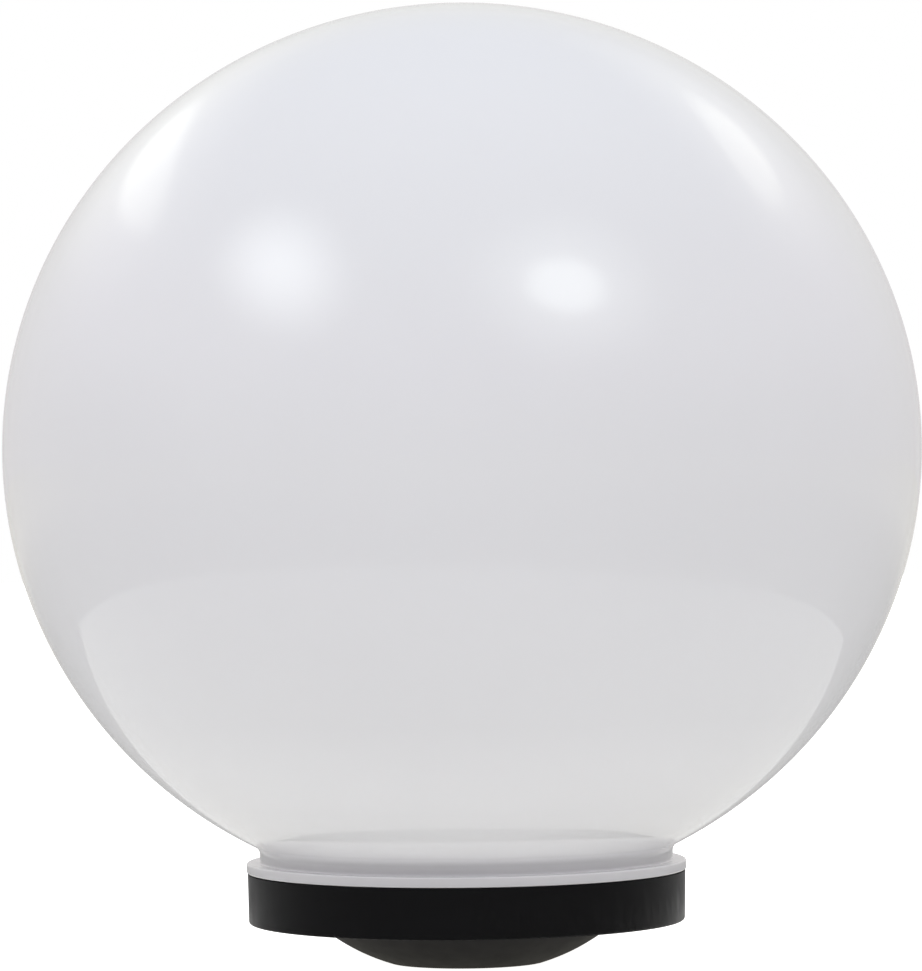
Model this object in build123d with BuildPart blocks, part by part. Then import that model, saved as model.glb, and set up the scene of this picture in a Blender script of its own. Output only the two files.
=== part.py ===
"""Garden globe light: an opal globe that twist-locks into a black base for a pole top.

Millimetres, +Z up. The origin is the centre of the flat underside of the dish,
and the Z axis is the axis of the globe, the base and the lampholder.
"""

import os
from math import acos, cos, hypot, pi, sin, sqrt

from build123d import *

# ------------------------------------------------------------------ driving sizes
# Globe: a slightly oblate opal shell with a neck, a flange and a bayonet spigot
globe_radius = 200.0
globe_half_height = 194.05
globe_wall = 3.0
spigot_outer_radius = 86.9
spigot_wall = 3.0
spigot_depth = 10.3
neck_step = 3.2
neck_height = 7.0
neck_corner_radius = 2.0
flange_overhang = 5.8
flange_thickness = 3.5
flange_edge_radius = 0.8

# Bayonet between the globe and the tray
lug_count = 3
lug_reach = 4.3
lug_width = 18.0
lug_thickness = 3.0
lug_play = 0.4
lug_side_play = 2.0
lock_angle = 30.0
lock_stop_angle = 7.2
lock_stop_thickness = 1.6
lock_stop_length = 3.5

# Gasket under the flange
gasket_thickness = 2.5
gasket_bore_play = 0.1
gasket_edge_play = 0.3

# Tray: the black collar with its floor, ledge and ribs
tray_height = 21.7
tray_inset = 0.4
tray_draft = 0.4
tray_wall = 3.1
tray_floor = 3.0
tray_edge_radius = 1.2
rim_gap = 0.4
rim_lip = 1.4
ledge_thickness = 2.0
ledge_play = 0.7
rib_count = 8
rib_thickness = 2.0
rib_height = 6.0
rib_start_radius = 46.0
drain_count = 4
drain_radius = 2.5
drain_inset = 12.0

# Dish and pole socket, one moulding
pole_radius = 30.0
pole_play = 0.3
pole_depth = 50.0
socket_wall = 3.7
bore_chamfer = 0.8
chamber_radius = 27.0
chamber_height = 10.0
socket_roof = 3.5
dish_height = 17.7
dish_top_radius = 66.0
dish_bulge = 1.85
dish_wall = 3.0
tray_hole_play = 0.4

# Screws that hold the dish to the tray
base_screw_count = 4
base_screw_angle = 45.0
base_screw_ring_radius = 50.0
base_screw_radius = 2.0
base_screw_length = 10.0
base_screw_head_radius = 4.0
base_screw_head_height = 2.6
base_boss_radius = 5.0
screw_hole_play = 0.25
screw_end_play = 0.5

# Grub screws that clamp the pole, with nuts caught in bosses on the socket
set_screw_count = 3
set_screw_angle = 90.0
set_screw_radius = 3.0
set_screw_length = 14.0
set_screw_height = 32.0
set_screw_tip_inset = 0.7
set_screw_key = 3.0
set_boss_width = 17.0
set_boss_height = 18.0
set_boss_reach = 10.0
nut_across_flats = 10.0
nut_thickness = 5.0
nut_play = 0.3
nut_cover = 2.4

# Shares of a screw's own sizes
key_share = 0.5
key_depth_share = 0.6
head_edge_share = 0.25
tip_chamfer_share = 0.25
grub_key_depth_share = 0.3
thread_play = 0.05

# Bridge that carries the lampholder over the cable gland
bridge_width = 25.0
bridge_thickness = 3.0
bridge_inner_half_span = 17.5
bridge_height = 34.0
bridge_foot_length = 13.5
bridge_bend_radius = 2.0
bridge_screw_radius = 2.0
bridge_screw_length = 12.0
bridge_screw_head_radius = 3.4
bridge_screw_head_height = 2.4

# Cable gland in the roof of the socket
gland_thread_radius = 9.9
gland_hole_play = 0.2
gland_bore_radius = 6.5
gland_thread_length = 11.5
gland_across_flats = 24.0
gland_hex_height = 5.0
gland_neck_length = 9.0
gland_neck_bore_radius = 8.2
gland_nut_height = 15.0
gland_nut_gap = 0.5
gland_nut_chamfer_height = 2.0
gland_nut_chamfer_width = 4.0
gland_seal_length = 8.0
gland_thread_play = 0.1
locknut_across_flats = 26.0
locknut_thickness = 4.5

# Lampholder: porcelain body, threaded shell and two contacts
holder_radius = 22.0
holder_height = 50.0
holder_floor_height = 22.0
holder_edge_radius = 1.5
holder_screw_spacing = 24.0
holder_screw_radius = 2.0
holder_screw_length = 12.0
holder_screw_head_radius = 3.4
holder_screw_head_height = 2.4
niche_inner_offset = 8.0
niche_side = 7.0
niche_foot = 3.5
niche_roof = 3.0
shell_bore_radius = 13.6
shell_sheet = 0.5
shell_length = 24.5
shell_play = 0.3
shell_flange_bore_radius = 10.0
shell_thread_start = 4.5
shell_thread_length = 16.5
rivet_ring_radius = 11.8
rivet_radius = 1.2
rivet_head_radius = 1.6
rivet_head_height = 0.6
rivet_length = 5.0
rivet_play = 0.05
contact_sheet = 0.6
contact_width = 5.0
contact_spring_rise = 2.4
spring_tail_share = 0.35
spring_foot_share = 0.65
side_tab_inset = 0.7
contact_corner_radius = 0.5
contact_slot_play = 0.25
contact_drop = 17.0
contact_screw_height = 10.5
contact_screw_radius = 1.5
contact_screw_length = 6.5
contact_screw_head_radius = 3.2
contact_screw_head_height = 2.2

# Leads from the terminal block to the lampholder
lead_radius = 1.1
lead_bend_radius = 6.0
lead_stand = 0.5
ferrule_radius = 0.75
ferrule_length = 8.0
ferrule_play = 0.05
ferrule_overrun = 2.0

# Terminal block on the leg of the bridge
block_depth = 14.0
block_height = 20.0
block_end_wall = 3.45
block_edge_radius = 1.0
block_rise = 7.5
insert_radius = 3.0
insert_bore_radius = 1.9
insert_length = 17.0
insert_play = 0.2
clamp_screw_spacing = 10.0
clamp_screw_radius = 1.5
clamp_hole_radius = 2.0
clamp_screw_recess = 1.2
clamp_slot_width = 0.7
clamp_slot_length = 4.5
block_screw_radius = 1.75
block_screw_length = 15.0
block_screw_head_radius = 3.0
block_screw_head_height = 2.0
block_screw_sink = 3.0

# Edison screw of the lamp and its holder
thread_pitch = 3.629
thread_bead_radius = 0.8
cap_bead_centre_radius = 12.45
shell_bead_centre_radius = 13.25

# Lamp bulb
bulb_contact_gap = 0.3
eyelet_radius = 4.5
eyelet_thickness = 1.4
eyelet_seat_depth = 1.0
eyelet_play = 0.05
eyelet_edge_radius = 0.56
insulator_rim = 1.0
insulator_height = 5.4
insulator_spigot = 2.8
insulator_play = 0.1
cap_root_radius = 12.1
cap_sheet = 0.5
cap_length = 19.2
cap_lap = 0.5
cap_thread_start = 2.2
cap_thread_length = 12.7
housing_foot_radius = 14.0
housing_foot_gap = 0.2
housing_spigot = 5.0
housing_height = 38.8
housing_top_radius = 27.2
housing_wall = 1.8
housing_shoulder_radius = 22.0
housing_shoulder_height = 24.0
housing_flare = 0.25
housing_inner_flare = 0.35
board_radius = 25.0
board_thickness = 1.6
board_depth = 4.0
board_ledge = 2.4
board_play = 0.3
chip_count = 12
chip_ring_radius = 17.0
chip_length = 3.5
chip_width = 2.8
chip_thickness = 0.8
diffuser_radius = 30.0
diffuser_wall = 1.5
diffuser_spigot_wall = 1.2
diffuser_spigot_length = 2.0
diffuser_lip_inset = 0.3
driver_width = 19.0
driver_top_gap = 0.7
driver_thickness = 1.4
driver_foot = 4.5
capacitor_radius = 4.0
capacitor_length = 12.0
capacitor_sink = 0.35
coil_width = 8.0
coil_height = 9.0
coil_depth = 6.0
pin_radius = 0.5
pin_play = 0.05
pin_spacing = 10.0

# ------------------------------------------------------------------ levels and radii
neck_outer_radius = spigot_outer_radius + neck_step
flange_radius = neck_outer_radius + flange_overhang
tray_top_radius = flange_radius - tray_inset
tray_bottom_radius = tray_top_radius - tray_draft
tray_top = dish_height + tray_height
flange_bottom = tray_top + rim_gap
flange_top = flange_bottom + flange_thickness
neck_top = flange_top + neck_height
globe_centre = neck_top + globe_half_height * sqrt(1 - (neck_outer_radius / globe_radius) ** 2)
spigot_bottom = flange_bottom - spigot_depth
spigot_inner_radius = spigot_outer_radius - spigot_wall
ledge_top = flange_bottom - gasket_thickness
ledge_bottom = ledge_top - ledge_thickness
ledge_inner_radius = spigot_outer_radius + ledge_play
rebate_radius = tray_top_radius - rim_lip
tray_inner_radius = tray_bottom_radius - tray_wall
drain_ring_radius = tray_inner_radius - drain_inset
floor_top = dish_height + tray_floor
lug_top = ledge_bottom - lug_play
lug_radius = spigot_outer_radius + lug_reach
lug_blank_length = 4 * lug_reach
notch_radius = lug_radius + lug_play
notch_width = lug_width + 2 * lug_side_play

socket_bore_radius = pole_radius + pole_play
socket_radius = socket_bore_radius + socket_wall
roof_bottom = pole_depth + chamber_height
roof_top = roof_bottom + socket_roof
socket_screw_radius = (chamber_radius + socket_radius) / 2

bridge_top = roof_top + bridge_height
bridge_outer_half_span = bridge_inner_half_span + bridge_thickness
holder_top = bridge_top + holder_height
holder_floor = bridge_top + holder_floor_height
niche_bottom = bridge_top + niche_foot
niche_top = holder_floor - niche_roof
contact_screw_z = bridge_top + contact_screw_height
contact_face = niche_inner_offset + contact_sheet
lead_offset = contact_face + ferrule_radius
lead_run_z = contact_screw_z + contact_screw_radius + ferrule_radius + ferrule_play
screw_clamp_face = contact_face + 2 * (ferrule_radius + ferrule_play)

block_inner_x = bridge_outer_half_span
block_outer_x = block_inner_x + block_depth
block_centre_x = block_inner_x + block_depth / 2
block_bottom = roof_top + block_rise
block_top = block_bottom + block_height
block_centre_z = block_bottom + block_height / 2
insert_top = block_centre_z + insert_length / 2
lead_start_z = insert_top + lead_stand
ferrule_end_x = -ferrule_overrun
lead_end_x = ferrule_end_x + ferrule_length

bulb_tip = holder_floor + contact_spring_rise + contact_sheet / 2 + bulb_contact_gap
eyelet_top = bulb_tip + eyelet_thickness
insulator_bottom = eyelet_top - eyelet_seat_depth
insulator_shoulder = insulator_bottom + insulator_height
cap_bottom = insulator_shoulder + cap_lap
cap_top = cap_bottom + cap_length
cap_bore_radius = cap_root_radius - cap_sheet
housing_bottom = cap_top + housing_foot_gap
housing_top = housing_bottom + housing_height
board_bottom = housing_top - board_depth - board_thickness
board_top = board_bottom + board_thickness
diffuser_centre = housing_top + sqrt(diffuser_radius**2 - housing_top_radius**2)

MIN_Z = (Align.CENTER, Align.CENTER, Align.MIN)
MAX_Z = (Align.CENTER, Align.CENTER, Align.MAX)


# ------------------------------------------------------------------ shared fasteners
def make_screw(shank_radius, shank_length, head_radius, head_height):
    """Socket-head screw with its head seated on z = 0 and its shank along -Z."""
    key_radius = head_radius * key_share
    with BuildPart() as screw:
        Cylinder(head_radius, head_height, align=MIN_Z)
        fillet(screw.edges().sort_by(Axis.Z)[-1], head_height * head_edge_share)
        Cylinder(shank_radius, shank_length, align=MAX_Z)
        chamfer(screw.edges().sort_by(Axis.Z)[0], shank_radius * tip_chamfer_share)
        with BuildSketch(Plane.XY.offset(head_height)):
            RegularPolygon(key_radius, 6)
        extrude(amount=-head_height * key_depth_share, mode=Mode.SUBTRACT)
    return screw.part


def make_grub_screw(radius, length, key_across_flats):
    """Grub screw from z = 0, its cup point, to its socketed end."""
    with BuildPart() as grub:
        Cylinder(radius, length, align=MIN_Z)
        chamfer(grub.edges().group_by(Axis.Z)[0], radius * tip_chamfer_share)
        with BuildSketch(Plane.XY.offset(length)):
            RegularPolygon(key_across_flats / 2, 6, major_radius=False)
        extrude(amount=-length * grub_key_depth_share, mode=Mode.SUBTRACT)
    return grub.part


def make_hex_nut(across_flats, thickness, hole_radius):
    """Hexagon nut from z = 0, with its flats square to Y."""
    with BuildPart() as nut:
        with BuildSketch():
            RegularPolygon(across_flats / 2, 6, major_radius=False)
            Circle(hole_radius, mode=Mode.SUBTRACT)
        extrude(amount=thickness)
    return nut.part


# ------------------------------------------------------------------ globe
match_tolerance = 0.01
neck_point = (neck_outer_radius, neck_top)
inner_radius = globe_radius - globe_wall
inner_half_height = globe_half_height - globe_wall
neck_bore_radius = neck_outer_radius - globe_wall
neck_bore_top = globe_centre - inner_half_height * sqrt(1 - (neck_bore_radius / inner_radius) ** 2)


def edges_at(builder, radius, height):
    """Circular edges of a builder's part with a given radius and level."""
    circles = builder.edges().filter_by(GeomType.CIRCLE)
    return circles.filter_by(
        lambda e: abs(e.radius - radius) < match_tolerance
        and abs(e.center().Z - height) < match_tolerance
    )


def add_meridian(half_width, half_height, start_radius):
    """Exact elliptical arc, from a radius under the globe's centre up to its top."""
    start = -acos(start_radius / half_width)
    middle = (start + pi / 2) / 2
    weight = cos((pi / 2 - start) / 2)
    return Bezier(
        (start_radius, globe_centre + half_height * sin(start)),
        (half_width * cos(middle) / weight, globe_centre + half_height * sin(middle) / weight),
        (0, globe_centre + half_height),
        weights=(1, weight, 1),
    )


with BuildPart() as globe:
    with BuildSketch(Plane.XZ):
        with BuildLine():
            add_meridian(globe_radius, globe_half_height, neck_outer_radius)
            Polyline(
                neck_point,
                (neck_outer_radius, flange_top),
                (flange_radius, flange_top),
                (flange_radius, flange_bottom),
                (spigot_outer_radius, flange_bottom),
                (spigot_outer_radius, spigot_bottom),
                (0, spigot_bottom),
                (0, globe_centre + globe_half_height),
            )
        make_face()
    revolve(axis=Axis.Z)
    fillet(edges_at(globe, neck_outer_radius, neck_top), neck_corner_radius)
    fillet(
        edges_at(globe, flange_radius, flange_top) + edges_at(globe, flange_radius, flange_bottom),
        flange_edge_radius,
    )
    with BuildSketch(Plane.XY.offset(lug_top)):
        with PolarLocations(spigot_outer_radius, lug_count):
            Rectangle(lug_blank_length, lug_width)
        Circle(lug_radius, mode=Mode.INTERSECT)
        Circle(spigot_inner_radius, mode=Mode.SUBTRACT)
    extrude(amount=-lug_thickness)
    with BuildSketch(Plane.XZ):
        with BuildLine():
            add_meridian(inner_radius, inner_half_height, neck_bore_radius)
            Polyline(
                (neck_bore_radius, neck_bore_top),
                (neck_bore_radius, flange_top + globe_wall),
                (spigot_inner_radius, flange_top),
                (spigot_inner_radius, spigot_bottom),
                (0, spigot_bottom),
                (0, globe_centre + inner_half_height),
            )
        make_face()
    revolve(axis=Axis.Z, mode=Mode.SUBTRACT)

with BuildPart() as neck_gasket:
    with BuildSketch(Plane.XY.offset(ledge_top)):
        Circle(rebate_radius - gasket_edge_play)
        Circle(spigot_outer_radius + gasket_bore_play, mode=Mode.SUBTRACT)
    extrude(amount=gasket_thickness)

# ------------------------------------------------------------------ base tray
tray_hole_radius = socket_radius + tray_hole_play
set_boss_radius = socket_radius + set_boss_reach

with BuildPart() as base_tray:
    with BuildSketch(Plane.XZ):
        with BuildLine():
            Polyline(
                (tray_hole_radius, dish_height),
                (tray_bottom_radius, dish_height),
                (tray_top_radius, tray_top),
                (rebate_radius, tray_top),
                (rebate_radius, ledge_top),
                (ledge_inner_radius, ledge_top),
                (ledge_inner_radius, ledge_bottom),
                (tray_inner_radius, ledge_bottom),
                (tray_inner_radius, floor_top),
                (tray_hole_radius, floor_top),
                close=True,
            )
        make_face()
    revolve(axis=Axis.Z)
    fillet(edges_at(base_tray, tray_bottom_radius, dish_height), tray_edge_radius)
    rib_length = tray_inner_radius + tray_wall / 2 - rib_start_radius
    with BuildSketch(Plane.XY.offset(floor_top)):
        with PolarLocations(rib_start_radius, rib_count, start_angle=180 / rib_count):
            Rectangle(rib_length, rib_thickness, align=(Align.MIN, Align.CENTER))
    extrude(amount=rib_height)
    with BuildSketch(Plane.XY.offset(ledge_bottom)):
        with PolarLocations(
            tray_inner_radius, lug_count, start_angle=-lock_angle - lock_stop_angle
        ):
            Rectangle(lock_stop_length, lock_stop_thickness, align=(Align.MAX, Align.CENTER))
            Rectangle(tray_wall / 2, lock_stop_thickness, align=(Align.MIN, Align.CENTER))
    extrude(amount=-lug_thickness - lug_play)
    with BuildSketch(Plane.XY.offset(ledge_bottom)):
        with PolarLocations(ledge_inner_radius, lug_count):
            Rectangle(lug_blank_length, notch_width)
        Circle(notch_radius, mode=Mode.INTERSECT)
    extrude(amount=ledge_thickness, mode=Mode.SUBTRACT)
    with BuildSketch(Plane.XY.offset(dish_height)):
        with PolarLocations(base_screw_ring_radius, base_screw_count, start_angle=base_screw_angle):
            Circle(base_screw_radius + screw_hole_play)
        with PolarLocations(drain_ring_radius, drain_count):
            Circle(drain_radius)
        with PolarLocations(0, set_screw_count, start_angle=set_screw_angle):
            Rectangle(
                set_boss_radius + tray_hole_play,
                set_boss_width + 2 * tray_hole_play,
                align=(Align.MIN, Align.CENTER),
            )
    extrude(amount=tray_floor, mode=Mode.SUBTRACT)

# ------------------------------------------------------------------ dish and pole socket
dish_run = dish_top_radius - socket_radius
dish_slope = hypot(dish_run, dish_height)
dish_out = (dish_height / dish_slope, -dish_run / dish_slope)
dish_middle = (
    (dish_top_radius + socket_radius) / 2 + dish_bulge * dish_out[0],
    dish_height / 2 + dish_bulge * dish_out[1],
)
dish_inner_middle = (
    dish_middle[0] - dish_wall * dish_out[0],
    dish_middle[1] - dish_wall * dish_out[1],
)
dish_inner_top_radius = dish_top_radius - dish_wall
nut_slot_radius = socket_radius + nut_cover
nut_floor = set_screw_height - nut_across_flats / sqrt(3) - nut_play
boss_hole_bottom = floor_top - base_screw_length - screw_end_play
bridge_screw_bottom = roof_top + bridge_thickness - bridge_screw_length - screw_end_play

with BuildPart() as pole_socket:
    with BuildSketch():
        with PolarLocations(base_screw_ring_radius, base_screw_count, start_angle=base_screw_angle):
            Circle(base_boss_radius)
    extrude(amount=dish_height)
    with BuildSketch(Plane.XZ):
        with BuildLine():
            ThreePointArc((socket_radius, 0), dish_middle, (dish_top_radius, dish_height))
            Polyline(
                (dish_top_radius, dish_height), (0, dish_height), (0, 0), (socket_radius, 0)
            )
        make_face()
    revolve(axis=Axis.Z, mode=Mode.INTERSECT)
    with BuildSketch(Plane.XZ):
        with BuildLine():
            ThreePointArc((socket_radius, 0), dish_middle, (dish_top_radius, dish_height))
            Line((dish_top_radius, dish_height), (dish_inner_top_radius, dish_height))
            ThreePointArc(
                (dish_inner_top_radius, dish_height),
                dish_inner_middle,
                (socket_radius, dish_wall),
            )
            Polyline(
                (socket_radius, dish_wall),
                (socket_radius, roof_top),
                (0, roof_top),
                (0, 0),
                (socket_radius, 0),
            )
        make_face()
    revolve(axis=Axis.Z)
    boss_bottom = set_screw_height - set_boss_height / 2
    with BuildSketch(Plane.XY.offset(boss_bottom)):
        with PolarLocations(socket_radius - socket_wall / 2, set_screw_count, start_angle=set_screw_angle):
            Rectangle(
                set_boss_reach + socket_wall / 2, set_boss_width, align=(Align.MIN, Align.CENTER)
            )
    extrude(amount=set_boss_height)
    with BuildSketch(Plane.XY.offset(nut_floor)):
        with PolarLocations(nut_slot_radius, set_screw_count, start_angle=set_screw_angle):
            Rectangle(
                nut_thickness + 2 * nut_play,
                nut_across_flats + 2 * nut_play,
                align=(Align.MIN, Align.CENTER),
            )
    extrude(amount=boss_bottom + set_boss_height - nut_floor, mode=Mode.SUBTRACT)
    with Locations((0, 0, set_screw_height)):
        with PolarLocations(0, set_screw_count, start_angle=set_screw_angle):
            Cylinder(
                set_screw_radius + screw_hole_play,
                2 * set_boss_radius,
                rotation=(0, 90, 0),
                align=MIN_Z,
                mode=Mode.SUBTRACT,
            )
    with BuildSketch():
        Circle(socket_bore_radius)
    extrude(amount=pole_depth, mode=Mode.SUBTRACT)
    with BuildSketch(Plane.XY.offset(pole_depth)):
        Circle(chamber_radius)
    extrude(amount=chamber_height, mode=Mode.SUBTRACT)
    chamfer(edges_at(pole_socket, socket_bore_radius, 0), bore_chamfer)
    with BuildSketch(Plane.XY.offset(roof_bottom)):
        Circle(gland_thread_radius + gland_hole_play)
    extrude(amount=socket_roof, mode=Mode.SUBTRACT)
    with BuildSketch(Plane.XY.offset(boss_hole_bottom)):
        with PolarLocations(base_screw_ring_radius, base_screw_count, start_angle=base_screw_angle):
            Circle(base_screw_radius)
    extrude(amount=dish_height - boss_hole_bottom, mode=Mode.SUBTRACT)
    with BuildSketch(Plane.XY.offset(bridge_screw_bottom)):
        with PolarLocations(socket_screw_radius, 2):
            Circle(bridge_screw_radius)
    extrude(amount=roof_top - bridge_screw_bottom, mode=Mode.SUBTRACT)

base_screw = make_screw(
    base_screw_radius, base_screw_length, base_screw_head_radius, base_screw_head_height
)
with BuildPart() as base_screws:
    with Locations((0, 0, floor_top)):
        with PolarLocations(base_screw_ring_radius, base_screw_count, start_angle=base_screw_angle):
            add(base_screw)

grub_screw = make_grub_screw(set_screw_radius, set_screw_length, set_screw_key)
set_screw_tip = socket_bore_radius + set_screw_tip_inset
with BuildPart() as set_screws:
    with Locations((0, 0, set_screw_height)):
        with PolarLocations(0, set_screw_count, start_angle=set_screw_angle):
            with Locations(Location((set_screw_tip, 0, 0), (0, 90, 0))):
                add(grub_screw)

set_nut = make_hex_nut(nut_across_flats, nut_thickness, set_screw_radius + thread_play)
with BuildPart() as set_screw_nuts:
    with Locations((0, 0, set_screw_height)):
        with PolarLocations(0, set_screw_count, start_angle=set_screw_angle):
            with Locations(Location((nut_slot_radius + nut_play, 0, 0), (0, 90, 0))):
                add(set_nut)

# ------------------------------------------------------------------ lampholder bridge
holder_screw_x = holder_screw_spacing / 2

with BuildPart() as lamp_bridge:
    with BuildSketch(Plane.XZ):
        with BuildLine() as bridge_line:
            Polyline(
                (bridge_inner_half_span + bridge_foot_length + bridge_thickness, roof_top),
                (bridge_inner_half_span, roof_top),
                (bridge_inner_half_span, bridge_top - bridge_thickness),
                (-bridge_inner_half_span, bridge_top - bridge_thickness),
                (-bridge_inner_half_span, roof_top),
                (-bridge_inner_half_span - bridge_foot_length - bridge_thickness, roof_top),
                (
                    -bridge_inner_half_span - bridge_foot_length - bridge_thickness,
                    roof_top + bridge_thickness,
                ),
                (-bridge_outer_half_span, roof_top + bridge_thickness),
                (-bridge_outer_half_span, bridge_top),
                (bridge_outer_half_span, bridge_top),
                (bridge_outer_half_span, roof_top + bridge_thickness),
                (
                    bridge_inner_half_span + bridge_foot_length + bridge_thickness,
                    roof_top + bridge_thickness,
                ),
                close=True,
            )
        make_face()
    extrude(amount=bridge_width / 2, both=True)
    fillet(
        lamp_bridge.edges().filter_by(Axis.Y).group_by(Axis.Z)[-1],
        bridge_bend_radius,
    )
    with BuildSketch(Plane.XY.offset(roof_top)):
        with PolarLocations(socket_screw_radius, 2):
            Circle(bridge_screw_radius + screw_hole_play)
    extrude(amount=bridge_thickness, mode=Mode.SUBTRACT)
    with BuildSketch(Plane.XY.offset(bridge_top - bridge_thickness)):
        with PolarLocations(holder_screw_x, 2):
            Circle(holder_screw_radius + screw_hole_play)
    extrude(amount=bridge_thickness, mode=Mode.SUBTRACT)
    with BuildSketch(Plane.YZ.offset(bridge_inner_half_span)):
        with Locations((0, block_centre_z)):
            Circle(block_screw_radius)
    extrude(amount=bridge_thickness, mode=Mode.SUBTRACT)

bridge_screw = make_screw(
    bridge_screw_radius, bridge_screw_length, bridge_screw_head_radius, bridge_screw_head_height
)
with BuildPart() as bridge_screws:
    with Locations((0, 0, roof_top + bridge_thickness)):
        with PolarLocations(socket_screw_radius, 2):
            add(bridge_screw)

# ------------------------------------------------------------------ cable gland
gland_flange_top = roof_top + gland_hex_height
gland_neck_top = gland_flange_top + gland_neck_length
gland_nut_bottom = gland_flange_top + gland_nut_gap
gland_nut_top = gland_nut_bottom + gland_nut_height
gland_seal_bottom = gland_neck_top - gland_seal_length
gland_nut_bore_radius = gland_thread_radius + gland_thread_play

with BuildPart() as gland_body:
    with BuildSketch(Plane.XY.offset(roof_top - gland_thread_length)):
        Circle(gland_thread_radius)
    extrude(amount=gland_thread_length)
    with BuildSketch(Plane.XY.offset(roof_top)):
        RegularPolygon(gland_across_flats / 2, 6, major_radius=False)
    extrude(amount=gland_hex_height)
    with BuildSketch(Plane.XY.offset(gland_flange_top)):
        Circle(gland_thread_radius)
    extrude(amount=gland_neck_length)
    with BuildSketch(Plane.XY.offset(roof_top - gland_thread_length)):
        Circle(gland_bore_radius)
    extrude(amount=gland_seal_bottom - roof_top + gland_thread_length, mode=Mode.SUBTRACT)
    with BuildSketch(Plane.XY.offset(gland_seal_bottom)):
        Circle(gland_neck_bore_radius)
    extrude(amount=gland_seal_length, mode=Mode.SUBTRACT)

with BuildPart() as gland_seal:
    with BuildSketch(Plane.XY.offset(gland_seal_bottom)):
        Circle(gland_neck_bore_radius)
        Circle(gland_bore_radius, mode=Mode.SUBTRACT)
    extrude(amount=gland_seal_length)

with BuildPart() as gland_nut:
    with BuildSketch(Plane.XY.offset(gland_nut_bottom)):
        RegularPolygon(gland_across_flats / 2, 6, major_radius=False)
    extrude(amount=gland_nut_height)
    with BuildSketch(Plane.XZ):
        with BuildLine():
            gland_corner = gland_across_flats / sqrt(3)
            Polyline(
                (0, gland_nut_bottom),
                (gland_corner, gland_nut_bottom),
                (gland_corner, gland_nut_top - gland_nut_chamfer_height),
                (gland_corner - gland_nut_chamfer_width, gland_nut_top),
                (0, gland_nut_top),
                close=True,
            )
        make_face()
    revolve(axis=Axis.Z, mode=Mode.INTERSECT)
    with BuildSketch(Plane.XY.offset(gland_nut_bottom)):
        Circle(gland_nut_bore_radius)
    extrude(amount=gland_neck_top - gland_nut_bottom, mode=Mode.SUBTRACT)
    with BuildSketch(Plane.XY.offset(gland_nut_bottom)):
        Circle(gland_bore_radius)
    extrude(amount=gland_nut_height, mode=Mode.SUBTRACT)

locknut = make_hex_nut(
    locknut_across_flats, locknut_thickness, gland_thread_radius + gland_thread_play
)
with BuildPart() as gland_locknut:
    with Locations((0, 0, roof_bottom - locknut_thickness)):
        add(locknut)

# ------------------------------------------------------------------ lampholder
shell_outer_radius = shell_bore_radius + shell_sheet
shell_flange_top = holder_floor + shell_sheet
holder_cavity_radius = shell_outer_radius + shell_play
slot_inner = niche_inner_offset - contact_slot_play
slot_outer = contact_face + contact_slot_play

with BuildPart() as holder_body:
    with BuildSketch(Plane.XY.offset(bridge_top)):
        Circle(holder_radius)
    extrude(amount=holder_height)
    fillet(edges_at(holder_body, holder_radius, holder_top), holder_edge_radius)
    with BuildSketch(Plane.XY.offset(holder_floor)):
        Circle(holder_cavity_radius)
    extrude(amount=holder_top - holder_floor, mode=Mode.SUBTRACT)
    with BuildSketch(Plane.XY.offset(niche_bottom)):
        with Locations((-niche_side, niche_inner_offset)):
            Rectangle(2 * holder_radius, holder_radius, align=(Align.MIN, Align.MIN))
        with Locations((-niche_side, -niche_inner_offset)):
            Rectangle(2 * holder_radius, holder_radius, align=(Align.MIN, Align.MAX))
    extrude(amount=niche_top - niche_bottom, mode=Mode.SUBTRACT)
    with BuildSketch(Plane.XY.offset(niche_top)):
        with Locations((0, (slot_inner + slot_outer) / 2), (0, -(slot_inner + slot_outer) / 2)):
            Rectangle(contact_width + 2 * contact_slot_play, slot_outer - slot_inner)
    extrude(amount=niche_roof, mode=Mode.SUBTRACT)
    with BuildSketch(Plane.XY.offset(holder_floor - rivet_length)):
        with PolarLocations(rivet_ring_radius, 2):
            Circle(rivet_radius + rivet_play)
    extrude(amount=rivet_length, mode=Mode.SUBTRACT)
    with BuildSketch(Plane.XY.offset(bridge_top)):
        with PolarLocations(holder_screw_x, 2):
            Circle(holder_screw_radius)
    extrude(
        amount=holder_screw_length - bridge_thickness + screw_end_play, mode=Mode.SUBTRACT
    )
    with BuildSketch(Plane.XZ.offset(-niche_inner_offset)):
        with Locations((0, contact_screw_z)):
            Circle(contact_screw_radius + thread_play)
    extrude(amount=contact_screw_length, mode=Mode.SUBTRACT)
    with BuildSketch(Plane.XZ.offset(niche_inner_offset)):
        with Locations((0, contact_screw_z)):
            Circle(contact_screw_radius + thread_play)
    extrude(amount=-contact_screw_length, mode=Mode.SUBTRACT)

with BuildPart() as holder_shell:
    with BuildSketch(Plane.XZ):
        with BuildLine():
            Polyline(
                (shell_flange_bore_radius, holder_floor),
                (shell_outer_radius, holder_floor),
                (shell_outer_radius, holder_floor + shell_length),
                (shell_bore_radius, holder_floor + shell_length),
                (shell_bore_radius, shell_flange_top),
                (shell_flange_bore_radius, shell_flange_top),
                close=True,
            )
        make_face()
    revolve(axis=Axis.Z)
    with BuildLine() as shell_helix:
        Helix(
            thread_pitch,
            shell_thread_length,
            shell_bead_centre_radius,
            center=(0, 0, holder_floor + shell_thread_start),
        )
    with BuildSketch(Plane(origin=shell_helix.line @ 0, z_dir=shell_helix.line % 0)):
        Circle(thread_bead_radius)
    sweep(path=shell_helix.line, is_frenet=True)
    with BuildSketch(Plane.XY.offset(holder_floor)):
        with PolarLocations(rivet_ring_radius, 2):
            Circle(rivet_radius + rivet_play)
    extrude(amount=shell_sheet, mode=Mode.SUBTRACT)

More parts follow.
